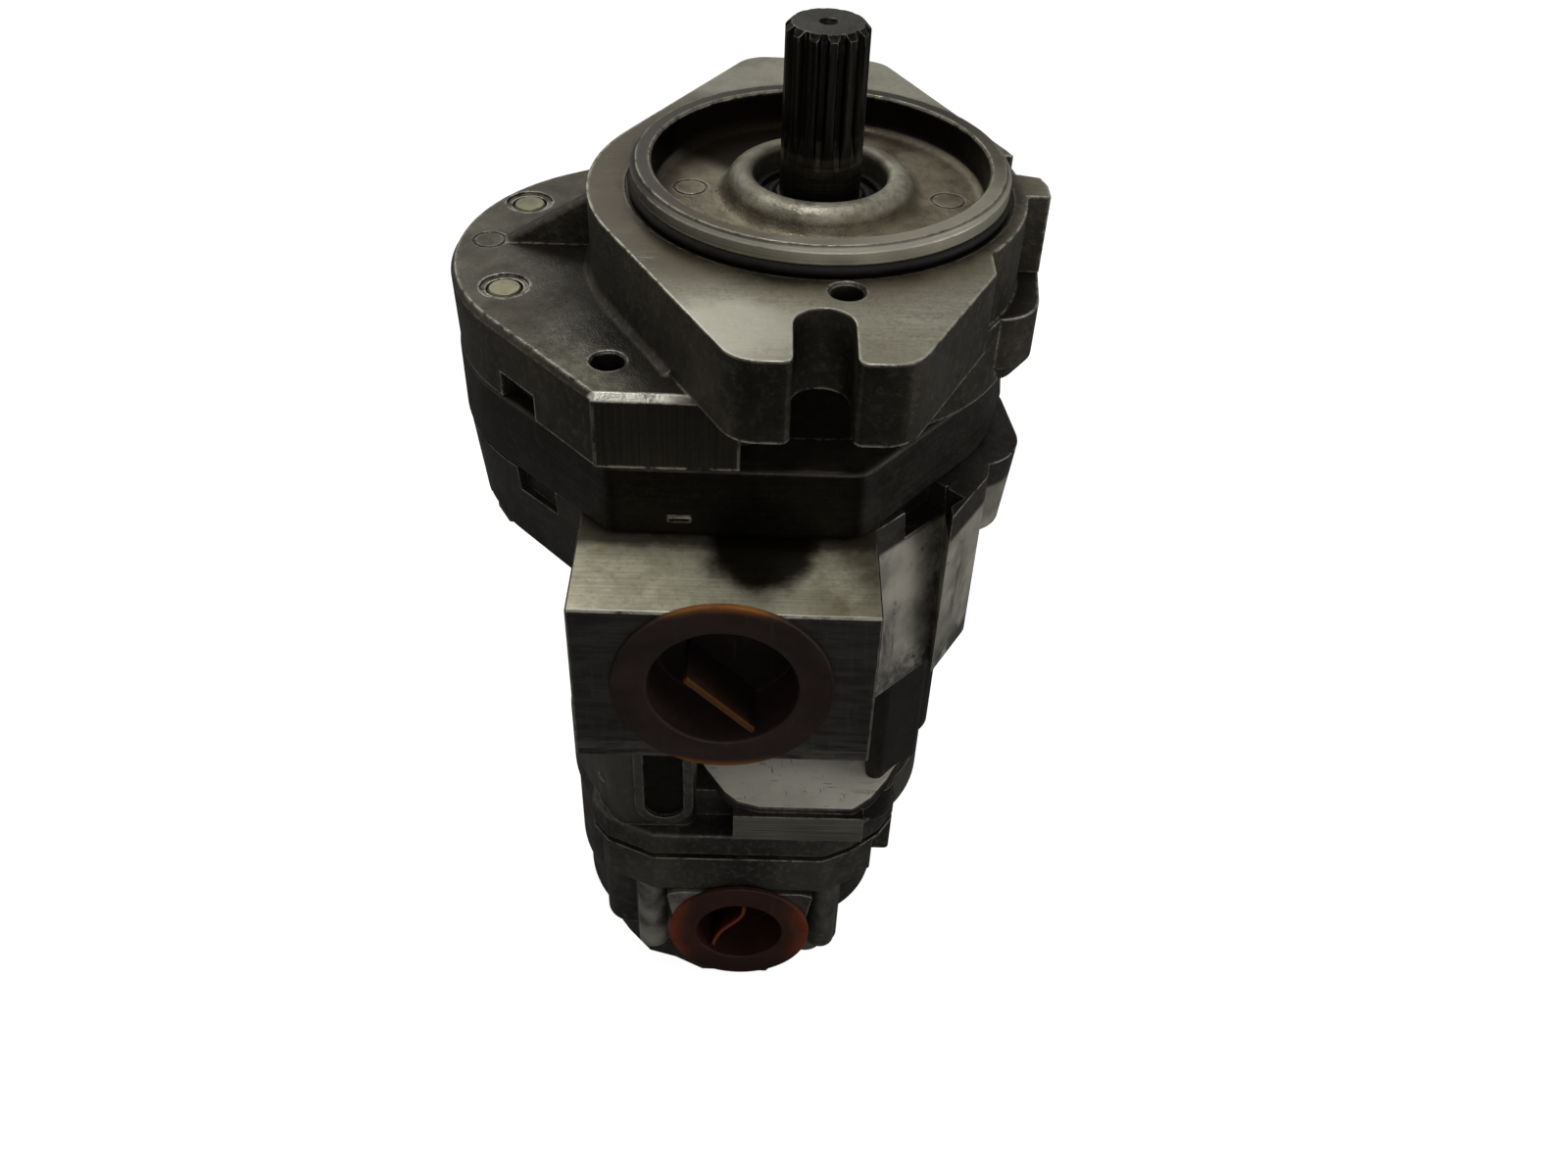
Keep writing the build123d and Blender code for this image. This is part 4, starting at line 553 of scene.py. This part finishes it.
def cap_plastic(name, dark, glow, cx, cz, fr, ir, y_face, rim_glow, side):
    """Translucent moulded plastic: smoky, with a painted glow along its edges."""
    g = G(name)
    o = g.xyz()
    dx = g.sub(o[0], cx)
    dz = g.sub(o[2], cz)
    r = g.math("SQRT", g.add(g.mul(dx, dx), g.mul(dz, dz)))
    smoke = g.noise(70.0, 4.0, 0.6, dist=0.5)
    col = g.mix(g.ramp(smoke, 0.3, 0.7), dark, tuple(c * 1.5 for c in dark))
    # painted shade: the cup is almost black
    deep = g.mul(g.ramp(r, ir, ir - 0.0012), g.ramp(o[1], y_face + 0.0010, y_face + 0.0045))
    col = g.mix(g.mul(deep, 0.82), col, tuple(c * 0.20 for c in dark))
    # painted glow in the rim and in the mouth edge of the finger web
    axis = dx if side else dz
    lift = g.ramp(g.math("ABSOLUTE", axis), fr * (0.55 if side else 0.80), fr * 1.0)
    outer = g.ramp(r, fr * (0.60 if side else 0.90), fr * 1.0)
    col = g.mix(g.mul(g.mul(g.mul(lift, outer), rim_glow), g.ramp(g.noise(90.0, 4.0, 0.6), 0.20, 0.60)), col, glow)
    web = g.mul(g.ramp(r, ir - 0.0004, ir - 0.0012), g.band(o[1], y_face + 0.0001, y_face + 0.0012, 0.0003))
    col = g.mix(g.mul(web, 0.60), col, glow)
    webside = g.mul(g.ramp(r, ir - 0.0020, ir - 0.0040), g.ramp(o[1], y_face + 0.0120, y_face + 0.0010))
    col = g.mix(g.mul(webside, 0.12), col, tuple(c * 0.5 for c in glow))
    # painted shade: the lower part of the side cap is darker
    if side:
        col = g.mix(g.mul(g.ramp(dz, -fr * 0.35, -fr * 0.9), 0.75), col, tuple(c * 0.35 for c in dark))
    scuff = g.ramp(g.noise(1.0, 5.0, 0.6, vec=g.vscale((300.0, 300.0, 60.0))), 0.56, 0.72)
    col = g.mix(g.mul(scuff, 0.06), col, (0.20, 0.16, 0.13))
    g.put(g.bsdf.inputs["Subsurface Weight"], 0.15)
    g.bsdf.inputs["Subsurface Radius"].default_value = (0.004, 0.0015, 0.0008)
    g.bsdf.inputs["Subsurface Scale"].default_value = 1.0
    nrm = g.bump(g.add(g.mul(g.noise(260.0, 4.0, 0.6), 0.6), g.mul(scuff, 0.3)), 0.10, 0.0003)
    return g.finish(col, g.ramp(smoke, 0.2, 0.8, 0.40, 0.55), metallic=0.0, normal=nrm, spec=0.22)


def bronze(name):
    g = G(name)
    blot = g.noise(150.0, 5.0, 0.65)
    col = g.mix(g.ramp(blot, 0.3, 0.7), (0.20, 0.14, 0.07), (0.42, 0.31, 0.16))
    nrm = g.bump(g.noise(1.0, 4.0, 0.6, vec=g.vscale((900.0, 900.0, 200.0))), 0.1, 0.0002)
    return g.finish(col, g.ramp(blot, 0.2, 0.8, 0.28, 0.45), metallic=0.95, normal=nrm)


mats["drive_shaft_gear"] = shaft_material()
plain_steel = steel("gear_steel", (0.20, 0.19, 0.18), (0.40, 0.39, 0.37))
bolt_steel = steel("bolt_steel", (0.10, 0.095, 0.085), (0.26, 0.25, 0.22))
bolt_end = steel("bolt_end_steel", (0.155, 0.146, 0.088), (0.300, 0.285, 0.180))
black_rubber = rubber("black_rubber")
bronze_mat = bronze("bush_bronze")
mats["front_port_cap"] = cap_plastic("cap_smoke_brown", (0.0215, 0.0130, 0.0112), (0.34, 0.13, 0.022), -0.022, -0.0912, 0.0290, 0.0196, -0.1005, 0.80, False)
mats["rear_port_cap"] = cap_plastic("cap_smoke_orange", (0.028, 0.0095, 0.0060), (0.26, 0.050, 0.015), -0.0165, -0.2435, 0.0240, 0.0146, -0.0675, 0.62, True)

for name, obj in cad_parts.items():
    if name in mats:
        m = mats[name]
    elif name == "case_bolts":
        m = bolt_end
    elif "seal" in name or "ring" in name:
        m = black_rubber
    elif "bush" in name or "pressure_plate" in name:
        m = bronze_mat
    elif "screw" in name or "bolt" in name or "washer" in name:
        m = bolt_steel
    else:
        m = plain_steel
    obj.data.materials.clear()
    obj.data.materials.append(m)

# ---------------------------------------------------------------------------
# floor, light and camera
# ---------------------------------------------------------------------------
z_floor = -0.284
bpy.context.scene.view_settings.view_transform = "Standard"
bpy.ops.mesh.primitive_plane_add(size=14.0, location=(0, 0, z_floor - 0.0002))
floor = bpy.context.object
floor.name = "floor"
gf = G("floor_white")
gf.finish((0.42, 0.42, 0.42), 0.9, metallic=0.0, spec=0.0)
gf.bsdf.inputs["Emission Color"].default_value = (1.0, 1.0, 1.0, 1.0)
gf.bsdf.inputs["Emission Strength"].default_value = 0.90
floor.data.materials.append(gf.mat)
floor.visible_diffuse = False
floor.visible_glossy = False
floor.visible_transmission = False

bpy.ops.mesh.primitive_uv_sphere_add(segments=48, ring_count=24, radius=6.5, location=(0, 0, 0))
dome = bpy.context.object
dome.name = "backdrop"
gd = G("backdrop_white")
gd.finish((0.0, 0.0, 0.0), 1.0, metallic=0.0, spec=0.0)
gd.bsdf.inputs["Emission Color"].default_value = (1.0, 1.0, 1.0, 1.0)
gd.bsdf.inputs["Emission Strength"].default_value = 1.0
dome.data.materials.append(gd.mat)
dome.visible_diffuse = False
dome.visible_glossy = False
dome.visible_transmission = False
dome.visible_shadow = False

# soft room light: bright ceiling, dim below the horizon
world = bpy.data.worlds.new("studio")
bpy.context.scene.world = world
world.use_nodes = True
wn = world.node_tree
wn.nodes.clear()
wo = wn.nodes.new("ShaderNodeOutputWorld")
bg = wn.nodes.new("ShaderNodeBackground")
wtc = wn.nodes.new("ShaderNodeTexCoord")
wsep = wn.nodes.new("ShaderNodeSeparateXYZ")
wmr = wn.nodes.new("ShaderNodeMapRange")
wmr.interpolation_type = "SMOOTHSTEP"
wmr.inputs["From Min"].default_value = -0.5
wmr.inputs["From Max"].default_value = 0.5
wmr.inputs["To Min"].default_value = 0.09
wmr.inputs["To Max"].default_value = 0.26
wn.links.new(wtc.outputs["Generated"], wsep.inputs[0])
wn.links.new(wsep.outputs[2], wmr.inputs["Value"])
wn.links.new(wmr.outputs["Result"], bg.inputs[1])
bg.inputs[0].default_value = (1.0, 0.995, 0.98, 1.0)
wn.links.new(bg.outputs[0], wo.inputs[0])


def area(name, loc, target, size, power, color=(1, 1, 1), size_y=None):
    light = bpy.data.lights.new(name, "AREA")
    light.energy = power
    light.color = color
    light.shape = "RECTANGLE"
    light.size = size
    light.size_y = size_y or size
    ob = bpy.data.objects.new(name, light)
    bpy.context.scene.collection.objects.link(ob)
    ob.location = loc
    ob.rotation_euler = (Vector(target) - Vector(loc)).to_track_quat("-Z", "Y").to_euler()
    ob.visible_camera = False
    return ob


area("overhead", (-0.07, 0.10, 1.15), (-0.02, 0.0, -0.06), 0.34, 4.4)
area("back_box", (-0.42, 0.95, 0.85), (-0.02, 0.0, -0.06), 0.8, 2.4, size_y=0.6)
area("front_fill", (0.20, -1.05, 0.42), (-0.02, 0.0, -0.14), 0.8, 2.2, size_y=0.5)
area("left_fill", (-1.0, 0.10, 0.20), (-0.02, 0.0, -0.12), 0.7, 0.5)
area("right_fill", (1.0, -0.25, 0.10), (-0.02, 0.0, -0.15), 0.7, 2.1)

th, ro, ps = math.radians(41.18), math.radians(2.69), math.radians(1.63)
h = Vector((math.sin(ps), math.cos(ps), 0.0))
d = (math.cos(th) * h + math.sin(th) * Vector((0, 0, -1.0))).normalized()
r = Vector((math.cos(ps), -math.sin(ps), 0.0))
u = r.cross(d)
r2 = math.cos(ro) * r + math.sin(ro) * u
u2 = -math.sin(ro) * r + math.cos(ro) * u
cam_data = bpy.data.cameras.new("camera")
cam_data.sensor_fit = "HORIZONTAL"
cam_data.sensor_width = 36.0
cam_data.lens = 1444.981 * 36.0 / 1600.0
cam_data.clip_start = 0.01
cam_data.dof.use_dof = False
cam = bpy.data.objects.new("camera", cam_data)
bpy.context.scene.collection.objects.link(cam)
cam.matrix_world = Matrix((
    (r2.x, u2.x, -d.x, -0.014716),
    (r2.y, u2.y, -d.y, -0.358934),
    (r2.z, u2.z, -d.z, 0.169104),
    (0.0, 0.0, 0.0, 1.0)))
bpy.context.scene.camera = cam
